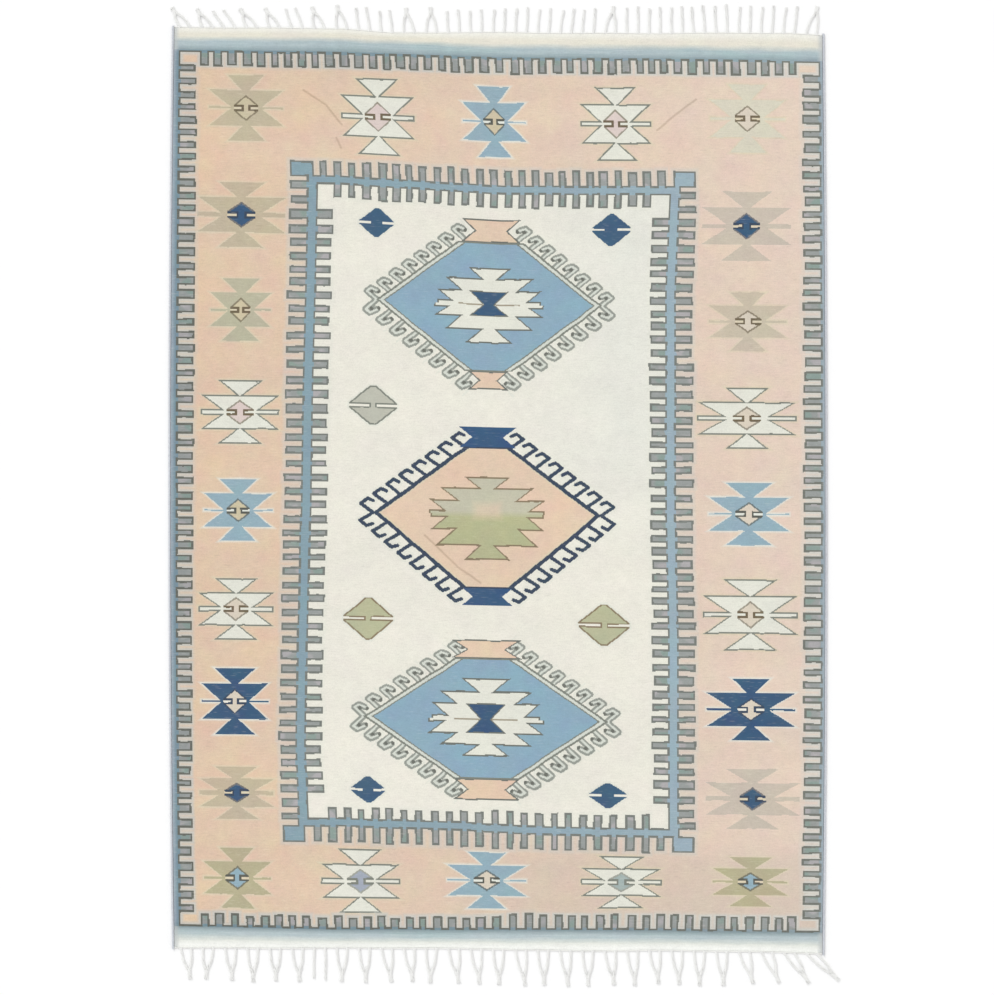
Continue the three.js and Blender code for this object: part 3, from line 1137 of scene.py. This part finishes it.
# %% Rug mesh
def stations(breaks, step):
    """Sorted places from the first break to the last, through every break, at most a step apart."""
    places = [breaks[0]]
    for start, end in zip(breaks, breaks[1:]):
        count = max(1, math.ceil((end - start) / step))
        places += [start + (end - start) * (i + 1) / count for i in range(count)]
    return np.array(places)


def unevenness(u, v):
    slow = np.sin(5.1 * u + 2.3 * v) + np.sin(3.7 * v - 1.9 * u + 1) + np.sin(9.3 * v + 7.7 * u + 2)
    fine = np.sin(31 * u + 13 * v) + np.sin(27 * v - 17 * u + 4)
    return 0.10 * slow + 0.06 * fine


edge_drop = 1.2 * MM
edge_strip = 4 * MM
bevel = 3 * MM
largest_step = 12 * MM
pile_settled = 0.35 * MM
pile_swell = 0.7 * MM
# The map for baked textures: its margin, where the back starts on it and how much it is squeezed
bake_margin = 0.0025
back_start = 0.72
back_squeeze = 0.38
u_stations = stations(
    [-half_chart, -half_chart + edge_strip, spine["left"], spine["right"],
     half_chart - edge_strip, half_chart],
    largest_step,
)
middles = sorted({row[1] * MM for row in medallion_halves})
v_stations = stations(
    [-chart_end, pile_bottom, pile_bottom + bevel, spine["bottom"], *middles, spine["top"],
     pile_top - bevel, pile_top, chart_end],
    largest_step,
)


def rug_mesh():
    u, v = np.meshgrid(u_stations, v_stations)
    rows, cols = u.shape
    u, v = u.ravel(), v.ravel()
    x, y = place(u, v)
    piled = (v > pile_bottom + 1e-6) & (v < pile_top - 1e-6)
    pile = pile_thickness - pile_settled + pile_swell * unevenness(u, v)
    at_edge = np.abs(u) > half_chart - 1e-6
    z = np.where(piled, pile - edge_drop * at_edge, flat_thickness)
    count = rows * cols
    face = np.column_stack([x + shift[0], y + shift[1], z])
    back = np.column_stack([x + shift[0], y + shift[1], np.zeros(count)])

    grid = np.arange(count).reshape(rows, cols)
    quads = np.stack([grid[:-1, :-1], grid[:-1, 1:], grid[1:, 1:], grid[1:, :-1]], axis=-1)
    quads = quads.reshape(-1, 4)
    rim = np.concatenate([grid[0, :], grid[1:, -1], grid[-1, -2::-1], grid[-2:0:-1, 0]])
    following = np.roll(rim, -1)
    wall = np.column_stack([rim, rim + count, following + count, following])[:, ::-1]
    faces = np.concatenate([quads, quads[:, ::-1] + count, wall])

    mesh = bpy.data.meshes.new("rug")
    mesh.from_pydata(np.concatenate([face, back]).tolist(), [], faces.tolist())
    both_u, both_v = np.concatenate([u, u]), np.concatenate([v, v])
    corners = faces.ravel()
    chart = mesh.uv_layers.new(name="chart")
    chart.data.foreach_set("uv", np.column_stack([both_u[corners], both_v[corners]]).ravel())

    # On the map for baked textures the face gets most of the square and the back the rest
    scale = (1 - 2 * bake_margin) / (2 * chart_end)
    along = (both_v[corners] + chart_end) * scale + bake_margin
    across = (both_u[corners] + half_chart) * scale + bake_margin
    first_back = 4 * len(quads)
    is_back = (np.arange(len(corners)) >= first_back) & (np.arange(len(corners)) < 2 * first_back)
    across = np.where(is_back, back_start + across * back_squeeze, across)
    baked = mesh.uv_layers.new(name="OFBake")
    baked.data.foreach_set("uv", np.column_stack([along, across]).ravel())

    centre_u = both_u[faces].mean(axis=1)
    centre_v = both_v[faces].mean(axis=1)
    return mesh, centre_u, centre_v


def store(mesh, name, kind, values):
    layer = mesh.attributes.new(name, kind, "FACE")
    field = {"FLOAT_VECTOR": "vector", "FLOAT_COLOR": "color"}[kind]
    layer.data.foreach_set(field, np.ascontiguousarray(values, dtype=np.float32).ravel())


def nearest(centre_u, centre_v, table):
    """For each face, the row of the figure nearest to it, measured in the figure's own size."""
    rows = np.array([row[:4] for row in table], dtype=float) * MM
    off_u = np.abs(centre_u[:, None] - rows[:, 0]) / rows[:, 2]
    off_v = np.abs(centre_v[:, None] - rows[:, 1]) / rows[:, 3]
    return np.maximum(off_u, off_v).argmin(axis=1)


mesh, centre_u, centre_v = rug_mesh()
in_field = (centre_u > spine["left"]) & (centre_u < spine["right"])
in_field &= (centre_v > spine["bottom"]) & (centre_v < spine["top"])
at_ends = (centre_v > pile_top) | (centre_v < pile_bottom)
slots = np.where(at_ends, 2, np.where(in_field, 1, 0))
mesh.polygons.foreach_set("material_index", slots.astype(np.int32))
for material in rug_materials:
    mesh.materials.append(material)

star_of = nearest(centre_u, centre_v, stars)
diamond_of = nearest(centre_u, centre_v, diamonds)
rows_of_stars = []
for *sizes, kind in stars:
    *colours, arms = star_kinds[kind]
    rows_of_stars.append([*sizes, arms, *[dyes[dye] for dye in colours]])
rows_of_diamonds = []
for *sizes, fill, line in diamonds:
    rows_of_diamonds.append([*sizes, 0, 0, dyes[fill], dyes[line], *4 * [dyes["ivory"]]])


def per_face(pick):
    """Star rows outside the field and diamond rows inside it."""
    in_stars = np.array([pick(row) for row in rows_of_stars])[star_of]
    in_diamonds = np.array([pick(row) for row in rows_of_diamonds])[diamond_of]
    return np.where(in_field[:, None], in_diamonds, in_stars)


store(mesh, "figure_at", "FLOAT_VECTOR", per_face(lambda row: [row[i] * MM for i in (0, 1, 4)]))
store(mesh, "figure_size", "FLOAT_VECTOR", per_face(lambda row: [row[i] * MM for i in (2, 3, 5)]))
for column, name in enumerate(("fill", "line", "halo", "centre", "ring", "slit"), start=6):
    store(mesh, "figure_" + name, "FLOAT_COLOR", per_face(lambda row: row[column]))

# Each face also keeps the half of the medallion it lies in: even rows are upper halves
table = np.array(medallion_halves, dtype=float)
middle_of = np.abs(centre_v[:, None] - table[::2, 1] * MM).argmin(axis=1)
half_of = 2 * middle_of + (centre_v < table[2 * middle_of, 1] * MM)
in_metres = table * MM
in_metres[:, 2] = table[:, 2]
for part, name in enumerate(("at", "size", "cap", "rise", "span")):
    store(mesh, "medallion_" + name, "FLOAT_VECTOR", in_metres[half_of][:, 3 * part:3 * part + 3])

mesh.polygons.foreach_set("use_smooth", np.ones(len(mesh.polygons), dtype=bool))
mesh.update()
mesh.validate()
mesh.set_sharp_from_angle(angle=math.radians(50))
rug = bpy.data.objects.new("rug_cloth", mesh)
bpy.context.collection.objects.link(rug)
print("the rug has", len(mesh.polygons), "faces")

# %% [markdown]
# ## Overcast sides
#
# The sides of a rug are bound by winding yarn round a cord, turn after turn. Geometry Nodes
# does the winding: a row of points along the cord, a loop of yarn on each.


# %% Geometry node helpers
def geometry_group(name, inputs):
    """A new geometry tree, the terms of its inputs and the node its result is fed to."""
    tree = bpy.data.node_groups.new(name, "GeometryNodeTree")
    tree.interface.new_socket(name="Geometry", in_out="INPUT", socket_type="NodeSocketGeometry")
    for label, (kind, default) in inputs.items():
        socket = tree.interface.new_socket(name=label, in_out="INPUT", socket_type="NodeSocket" + kind)
        socket.default_value = default
    tree.interface.new_socket(name="Geometry", in_out="OUTPUT", socket_type="NodeSocketGeometry")
    entry = tree.nodes.new("NodeGroupInput")
    given = {label: Term(tree, entry.outputs[label]) for label in ("Geometry", *inputs)}
    return tree, given, tree.nodes.new("NodeGroupOutput")


def made_by(tree, source, settings):
    """Runs a node tree on an object and returns its result as a plain mesh object."""
    modifier = source.modifiers.new(tree.name, "NODES")
    modifier.node_group = tree
    by_name = {item.name: item.identifier for item in tree.interface.items_tree
               if item.in_out == "INPUT"}
    for label, value in settings.items():
        modifier[by_name[label]] = value
    depsgraph = bpy.context.evaluated_depsgraph_get()
    made = bpy.data.meshes.new_from_object(source.evaluated_get(depsgraph))
    source.modifiers.remove(modifier)
    bpy.data.objects.remove(source)
    return made


def result(node, output=0):
    """One output of a node, by its name or its place."""
    return Term(node.id_data, node.outputs[output])


def vector_maths(operation, first, second):
    """What maths does for plain numbers, for vectors."""
    second_input = "Scale" if operation == "SCALE" else 1
    inputs = {0: first, second_input: second}
    return result(add_node(first.tree, "ShaderNodeVectorMath", inputs, operation=operation))


def circle(tree, radius, corners):
    inputs = {"Resolution": corners, "Radius": radius}
    return result(add_node(tree, "GeometryNodeCurvePrimitiveCircle", inputs), "Curve")


def tube(route, section, capped=False):
    """A mesh with the given section along a route."""
    inputs = {"Curve": route, "Profile Curve": section, "Fill Caps": capped}
    return result(add_node(route.tree, "GeometryNodeCurveToMesh", inputs), "Mesh")


def finish_geometry(exit_node, geometry, material):
    """Smooth shading and the material, as the last two nodes of a tree."""
    tree = geometry.tree
    smooth = result(add_node(tree, "GeometryNodeSetShadeSmooth", {"Geometry": geometry}))
    inputs = {"Geometry": smooth, "Material": material}
    feed(tree, result(add_node(tree, "GeometryNodeSetMaterial", inputs)), exit_node.inputs["Geometry"])


def curve_object(name, routes):
    """One poly spline for each route. A route is a list of points (x, y, z)."""
    curve = bpy.data.curves.new(name, "CURVE")
    curve.dimensions = "3D"
    for route in routes:
        spline = curve.splines.new("POLY")
        spline.points.add(len(route) - 1)
        spline.points.foreach_set("co", np.column_stack([route, np.ones(len(route))]).ravel())
    found = bpy.data.objects.new(name, curve)
    bpy.context.collection.objects.link(found)
    return found


greyed_from = 1135 * MM
greyed_over = 60 * MM


def yarn_material(name, dye, shade, scale, darkening=0.0):
    """Wool yarn: the tone changes from place to place, with fine fibres along it."""
    material, tree, shader = new_material(name)
    coordinates = tree.nodes.new("ShaderNodeTexCoord")
    position = Term(tree, coordinates.outputs["Object"])
    _, y, _ = parts_of(tree, position)
    cloud = noise(tree, position, scale=scale, detail=3.0)
    slow = noise(tree, position, scale=3.0, detail=2.0)
    light = 1.0 + (cloud - 0.5) * (2 * shade) + (slow - 0.5) * shade
    # The far ends of a fringe are painted greyer
    light = light - limited((abs(y) - greyed_from) / greyed_over) * darkening
    spun = add_node(tree, "ShaderNodeHueSaturation", {"Color": dye, "Value": light})
    tree.links.new(spun.outputs["Color"], shader.inputs["Base Color"])
    feed(tree, 0.88 + 0.12 * cloud, shader.inputs["Roughness"])
    fibres = noise(tree, position, scale=1400.0, detail=2.0)
    bump = add_node(tree, "ShaderNodeBump", {"Height": fibres, "Strength": 0.35, "Distance": 0.3 * MM})
    tree.links.new(bump.outputs["Normal"], shader.inputs["Normal"])
    return material


# %% Overcast cord
cord_height = 3.1 * MM


def overcast_tree(material):
    settings = {
        "Turn spacing": ("Float", 3.4 * MM),
        "Cord radius": ("Float", 2.3 * MM),
        "Yarn radius": ("Float", 0.95 * MM),
        "Seed": ("Int", 3),
    }
    tree, given, exit_node = geometry_group("Overcast cord", settings)
    core = tube(given["Geometry"], circle(tree, given["Cord radius"], 8), capped=True)
    loop = tube(circle(tree, given["Cord radius"], 11), circle(tree, given["Yarn radius"], 5))

    points = add_node(
        tree,
        "GeometryNodeCurveToPoints",
        {"Curve": given["Geometry"], "Length": given["Turn spacing"]},
        mode="LENGTH",
    )
    tilt = add_node(
        tree,
        "FunctionNodeRandomValue",
        {"Min": (0.22, -0.10, 0.0), "Max": (0.42, 0.10, 6.28), "Seed": given["Seed"]},
        data_type="FLOAT_VECTOR",
    )
    rotated = add_node(
        tree,
        "FunctionNodeRotateRotation",
        {"Rotation": result(points, "Rotation"), "Rotate By": result(tilt, "Value")},
        rotation_space="LOCAL",
    )
    turns = add_node(
        tree,
        "GeometryNodeInstanceOnPoints",
        {"Points": result(points, "Points"), "Instance": loop,
         "Rotation": result(rotated, "Rotation")},
    )
    wound = add_node(tree, "GeometryNodeRealizeInstances", {"Geometry": result(turns, "Instances")})

    together = tree.nodes.new("GeometryNodeJoinGeometry")
    for part in (core, result(wound, "Geometry")):
        feed(tree, part, together.inputs["Geometry"])
    finish_geometry(exit_node, result(together), material)
    return tree


selvedge_yarn = yarn_material("selvedge yarn", dyes["cord"], shade=0.14, scale=160.0)
overcast = overcast_tree(selvedge_yarn)
selvedges = {}
for side, across in (("left", 0.0), ("right", 1.0)):
    along = np.linspace(0, 1, 120)
    middle = left_side(along) + cord_radius if side == "left" else right_side(along) - cord_radius
    low = float(bottom_end(across)) - cord_reach
    high = float(top_end(across)) + cord_reach
    route = np.column_stack(
        [
            middle + shift[0],
            low + along * (high - low) + shift[1],
            np.full(len(along), cord_height),
        ]
    )
    source = curve_object("selvedge route", [route])
    mesh = made_by(overcast, source, {"Seed": 3 + len(selvedges)})
    cord = bpy.data.objects.new("selvedge_" + side + "_cord", mesh)
    bpy.context.collection.objects.link(cord)
    selvedges[side] = cord
    print(cord.name, "has", len(mesh.polygons), "faces")

# %% [markdown]
# ## Fringe
#
# The fringe is the ends of the warps, gathered in bundles. Most bundles at one end are knotted
# together in pairs; at the other end most hang free. The routes follow the same tables and the
# same jitter as the CAD, and Geometry Nodes spins each route into a bundle of loose yarns.

# %% Fringe routes
fringe_height = 2.4 * MM
header_height = 1.9 * MM
header_out = 1.6 * MM
header_points = 1100
pair_count = 29
bundle_spacing = 26 * MM
leg_spread_at_knot = 3 * MM
leg_bend = 3 * MM
tuft_spread = 2.2 * MM
route_points = 24
# The two turns of yarn round a tie: how far each is from its middle, how much they slant, how
# wide and how high they reach, and the radius of their yarn
knot_turn = {"apart": 1.7 * MM, "slant": 0.75 * MM, "wide": 2.9 * MM, "high": 1.5 * MM,
             "yarn": 1.5 * MM}
# across, length in mm, lean in mm
fringe_lie = {
    "top": [(0.0, 36, -26), (0.1, 38, -24), (0.28, 46, -9), (0.5, 50, 3), (0.62, 54, 6),
            (0.8, 58, -4), (1.0, 60, 12)],
    "bottom": [(0.0, 62, 2), (0.5, 68, 2), (0.85, 66, 6), (0.94, 60, 42), (1.0, 50, 62)],
}
tuft_length = {"top": 12 * MM, "bottom": 18 * MM}
tied_share = {"top": 0.35, "bottom": 0.85}
lean_variation = {"top": 4 * MM, "bottom": 7 * MM}


def jitter(seed):
    """A repeatable value from -1 to 1 for each number."""
    wave = math.sin(seed * 12.9898) * 43758.5453
    return 2 * (wave - math.floor(wave)) - 1


def step(point, heading, ahead, left):
    return (
        point[0] + heading[0] * ahead - heading[1] * left,
        point[1] + heading[1] * ahead + heading[0] * left,
    )


def toward(start, end):
    size = math.hypot(end[0] - start[0], end[1] - start[1])
    return (end[0] - start[0]) / size, (end[1] - start[1]) / size


def leg(root, end, bend, tuft_end):
    """Root, bend, knot and loose end of one bundle, as (along the end, out from it)."""
    start = (root, 0.0)
    heading = toward(start, end)
    reach = math.hypot(end[0] - start[0], end[1] - start[1])
    return [start, step(start, heading, 0.3 * reach, 0.7 * bend),
            step(start, heading, 0.6 * reach, bend), end, tuft_end]


def smoothed(points, count):
    """A soft curve through points, by Catmull-Rom, as an array."""
    points = np.array(points)
    padded = np.vstack([2 * points[0] - points[1], points, 2 * points[-1] - points[-2]])
    place_along = np.linspace(0, len(points) - 1 - 1e-9, count)
    start = place_along.astype(int)
    t = (place_along - start)[:, None]
    a, b, c, d = [padded[start + i] for i in range(4)]
    return 0.5 * (2 * b + (c - a) * t + (2 * a - 5 * b + 4 * c - d) * t**2
                  + (3 * b - a - 3 * c + d) * t**3)


def end_of_weave(end):
    """Where an end starts on the left, how wide it is, its line and which way is outward."""
    along, line, outward = (1.0, top_end, 1) if end == "top" else (0.0, bottom_end, -1)
    left = left_side(along) + cord_width
    width = right_side(along) - cord_width - left
    return left, width, line, outward


def fringe_routes(end):
    """The bundles' routes and the places of the knots in the row frame."""
    left, width, edge, outward = end_of_weave(end)
    stops, lengths, leans = np.array(fringe_lie[end]).T

    def woven(point, height):
        across, out = point
        y = float(edge(across / width)) + outward * (clearance + out)
        return (left + across + shift[0], y + shift[1], height)

    routes, ties = [], []
    pitch = width / pair_count
    for pair in range(pair_count):
        across = (pair + 0.5) / pair_count
        seed = pair + (100 if end == "top" else 1)
        length = MM * (float(np.interp(across, stops, lengths)) + 3 * jitter(seed + 0.3))
        lean = MM * float(np.interp(across, stops, leans))
        sway = lean_variation[end] * jitter(seed)
        is_tied = (jitter(seed + 0.7) + 1) / 2 < tied_share[end]
        centre = pitch * (pair + 0.5)
        tuft = tuft_length[end]
        if is_tied:
            tied_at = (centre + lean + sway, length)
            heading = toward((centre, 0.0), tied_at)
            turned = math.atan2(outward * heading[1], heading[0])
            ties.append((*woven(tied_at, fringe_height), turned))
            for side in (-1, 1):
                end_point = step(tied_at, heading, 0, -side * leg_spread_at_knot * 0.4)
                loose = step(tied_at, heading, tuft, -side * tuft_spread)
                points = leg(centre + side * bundle_spacing / 2, end_point, -side * leg_bend, loose)
                routes.append([woven(p, fringe_height) for p in smoothed(points, route_points)])
        else:
            for side, drift, share in ((-1, 0.7, 0.5), (1, 0.3, 0.8)):
                root = centre + side * bundle_spacing / 2
                end_point = (root + lean + drift * sway, length)
                heading = toward((root, 0.0), end_point)
                loose = step(end_point, heading, share * tuft, 0)
                points = leg(root, end_point, -side * 1 * MM, loose)
                routes.append([woven(p, fringe_height) for p in smoothed(points, route_points)])
    return routes, ties


# %% Fringe bundles
def bundle_tree(material):
    settings = {
        "Yarns": ("Int", 7),
        "Bundle radius": ("Float", 2.4 * MM),
        "Yarn radius": ("Float", 1.05 * MM),
        "Turns": ("Float", 1.6),
        "Looseness": ("Float", 1.2 * MM),
    }
    tree, given, exit_node = geometry_group("Yarn bundle", settings)
    copies = add_node(
        tree,
        "GeometryNodeDuplicateElements",
        {"Geometry": given["Geometry"], "Amount": given["Yarns"]},
        domain="SPLINE",
    )
    kept = add_node(
        tree,
        "GeometryNodeStoreNamedAttribute",
        {"Geometry": result(copies, "Geometry"), "Name": "yarn",
         "Value": result(copies, "Duplicate Index")},
        data_type="INT",
        domain="CURVE",
    )

    # The yarns wind round the middle of the bundle, a little flattened
    factor = result(tree.nodes.new("GeometryNodeSplineParameter"), "Factor")
    named = add_node(tree, "GeometryNodeInputNamedAttribute", {"Name": "yarn"}, data_type="INT")
    yarn = result(named, "Attribute")
    angle = (factor * given["Turns"] + yarn / given["Yarns"]) * (2 * math.pi)
    sideways = maths("COSINE", angle) * given["Bundle radius"]
    upward = maths("SINE", angle) * (given["Bundle radius"] * 0.6)
    tangent = result(tree.nodes.new("GeometryNodeInputTangent"), "Tangent")
    across = vector_maths("CROSS_PRODUCT", tangent, (0, 0, 1))
    wound = vector_maths("ADD", vector_maths("SCALE", across, sideways), joined(tree, z=upward))

    # Loose ends wander, each yarn its own way
    position = result(tree.nodes.new("GeometryNodeInputPosition"), "Position")
    loose = add_node(
        tree,
        "ShaderNodeTexNoise",
        {"Vector": position, "W": yarn * 7.3, "Scale": 45.0, "Detail": 1.0},
        noise_dimensions="4D",
    )
    centred = vector_maths("SUBTRACT", result(loose, "Color"), (0.5, 0.5, 0.5))
    wander = vector_maths("SCALE", centred, factor * 4.0 * given["Looseness"])
    wander = vector_maths("MULTIPLY", wander, (1.0, 1.0, 0.25))

    moved = add_node(
        tree,
        "GeometryNodeSetPosition",
        {"Geometry": result(kept, "Geometry"), "Offset": vector_maths("ADD", wound, wander)},
    )
    strand = circle(tree, given["Yarn radius"], 5)
    yarns = tube(result(moved, "Geometry"), strand, capped=True)
    finish_geometry(exit_node, yarns, material)
    return tree


def knot_mesh(ties):
    """Two short turns of yarn round every tie."""
    vertices, faces = [], []
    sides, around = 6, 10
    up = np.array([0.0, 0.0, 1.0])
    for x, y, z, angle in ties:
        ahead = np.array([math.cos(angle), math.sin(angle), 0.0])
        aside = np.array([-math.sin(angle), math.cos(angle), 0.0])
        for turn in (-1, 1):
            first = len(vertices)
            for i in range(around):
                about_tie = 2 * math.pi * i / around
                cos, sin = math.cos(about_tie), math.sin(about_tie)
                out = cos * aside + sin * up
                centre = np.array([x, y, z]) + cos * knot_turn["wide"] * aside
                centre += turn * (knot_turn["apart"] - knot_turn["slant"] * cos) * ahead
                centre += sin * knot_turn["high"] * up
                for j in range(sides):
                    about_yarn = 2 * math.pi * j / sides
                    off = math.cos(about_yarn) * out + math.sin(about_yarn) * ahead
                    vertices.append(centre + knot_turn["yarn"] * off)
            for i in range(around):
                here, there = first + i * sides, first + (i + 1) % around * sides
                for j in range(sides):
                    following = (j + 1) % sides
                    faces.append([here + j, here + following, there + following, there + j])
    mesh = bpy.data.meshes.new("ties")
    mesh.from_pydata([tuple(v) for v in vertices], [], faces)
    mesh.polygons.foreach_set("use_smooth", np.ones(len(mesh.polygons), dtype=bool))
    return mesh


def twined_edge(tree, end):
    """The twined edge that the bundles hang from."""
    left, width, edge, outward = end_of_weave(end)
    across = np.linspace(0, 1, header_points)
    route = np.column_stack(
        [
            left + across * width + shift[0],
            edge(across) + outward * (clearance + header_out) + shift[1],
            np.full(len(across), header_height),
        ]
    )
    settings = {"Yarns": 3, "Bundle radius": 0.7 * MM, "Yarn radius": 0.85 * MM, "Turns": 130.0,
                "Looseness": 0.0}
    return made_by(tree, curve_object("header", [route]), settings)


fringe_yarn = yarn_material("fringe yarn", dyes["fringe"], shade=0.04, scale=300.0, darkening=0.05)
header_yarn = yarn_material("header yarn", dyes["header"], shade=0.03, scale=300.0)
bundles = bundle_tree(fringe_yarn)
fringes = {}
for end in ("top", "bottom"):
    routes, ties = fringe_routes(end)
    yarns = made_by(bundles, curve_object("fringe routes", routes), {})
    parts = [bpy.data.objects.new("yarns", yarns), bpy.data.objects.new("ties", knot_mesh(ties))]
    parts[1].data.materials.append(fringe_yarn)
    twined = twined_edge(bundles, end)
    twined.materials[0] = header_yarn
    parts.append(bpy.data.objects.new("header", twined))
    for part in parts:
        bpy.context.collection.objects.link(part)
    with bpy.context.temp_override(active_object=parts[0], selected_editable_objects=parts):
        bpy.ops.object.join()
    fringe = parts[0]
    fringe.name = "fringe_" + end + "_yarns"
    fringes[end] = fringe
    print(fringe.name, "has", len(fringe.data.polygons), "faces and", len(ties), "knots")

# %% [markdown]
# ## Attaching the pieces
#
# The rug, its two cords and its two fringes are attached to one body, and the CAD's own parts are hidden.

# %% Frame
pieces = {
    "rug": (rug, "wool_pile"),
    "selvedge_left": (selvedges["left"], "selvedge_wool"),
    "selvedge_right": (selvedges["right"], "selvedge_wool"),
    "fringe_top": (fringes["top"], "fringe_yarn"),
    "fringe_bottom": (fringes["bottom"], "fringe_yarn"),
}
for node, (piece, material_slot) in pieces.items():
    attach(piece, "root")
    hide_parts(node)

# %% [markdown]
# ## Floor, light and camera
#
# The light is a soft white dome with one large lamp from the upper left, so that colours
# come out as dyed and the fringe still throws a faint shadow. The lens is long and looks
# straight down, which keeps the outline square.

# %% Stage
floor_drop = 0.5 * MM
bpy.ops.mesh.primitive_plane_add(size=40, location=(0, 0, -floor_drop))
floor = bpy.context.active_object
floor.name = "floor"
floor_material, tree, shader = new_material("floor")
shader.inputs["Base Color"].default_value = (0.995, 0.995, 0.995, 1)
shader.inputs["Roughness"].default_value = 1.0
shader.inputs["Specular IOR Level"].default_value = 0.0
floor.data.materials.append(floor_material)

world = bpy.data.worlds.new("studio")
bpy.context.scene.world = world
world.use_nodes = True
sky = world.node_tree.nodes["Background"]
sky.inputs["Color"].default_value = (1, 1, 1, 1)
rays = world.node_tree.nodes.new("ShaderNodeLightPath")
seen = world.node_tree.nodes.new("ShaderNodeMath")
seen.operation = "MAXIMUM"
seen.inputs[1].default_value = 0.82
world.node_tree.links.new(rays.outputs["Is Camera Ray"], seen.inputs[0])
world.node_tree.links.new(seen.outputs["Value"], sky.inputs["Strength"])

lamp_data = bpy.data.lights.new("key", "SUN")
lamp_data.energy = 0.9
lamp_data.angle = math.radians(25)
lamp = bpy.data.objects.new("key", lamp_data)
bpy.context.collection.objects.link(lamp)
lamp.rotation_euler = (math.radians(-38), math.radians(-30), 0)

view_height = 14.0
picture_side = 2.4378
aimed_at = (shift[0] - 3.2 * MM, shift[1] - 17.9 * MM)
camera_data = bpy.data.cameras.new("camera")
camera_data.sensor_width = 36
camera_data.lens = 36 * view_height / picture_side
camera_data.clip_end = 100
camera = bpy.data.objects.new("camera", camera_data)
bpy.context.collection.objects.link(camera)
camera.location = (*aimed_at, view_height + pile_thickness)
camera.rotation_euler = (0, 0, 0)
bpy.context.scene.camera = camera
bpy.context.scene.view_settings.view_transform = "Standard"
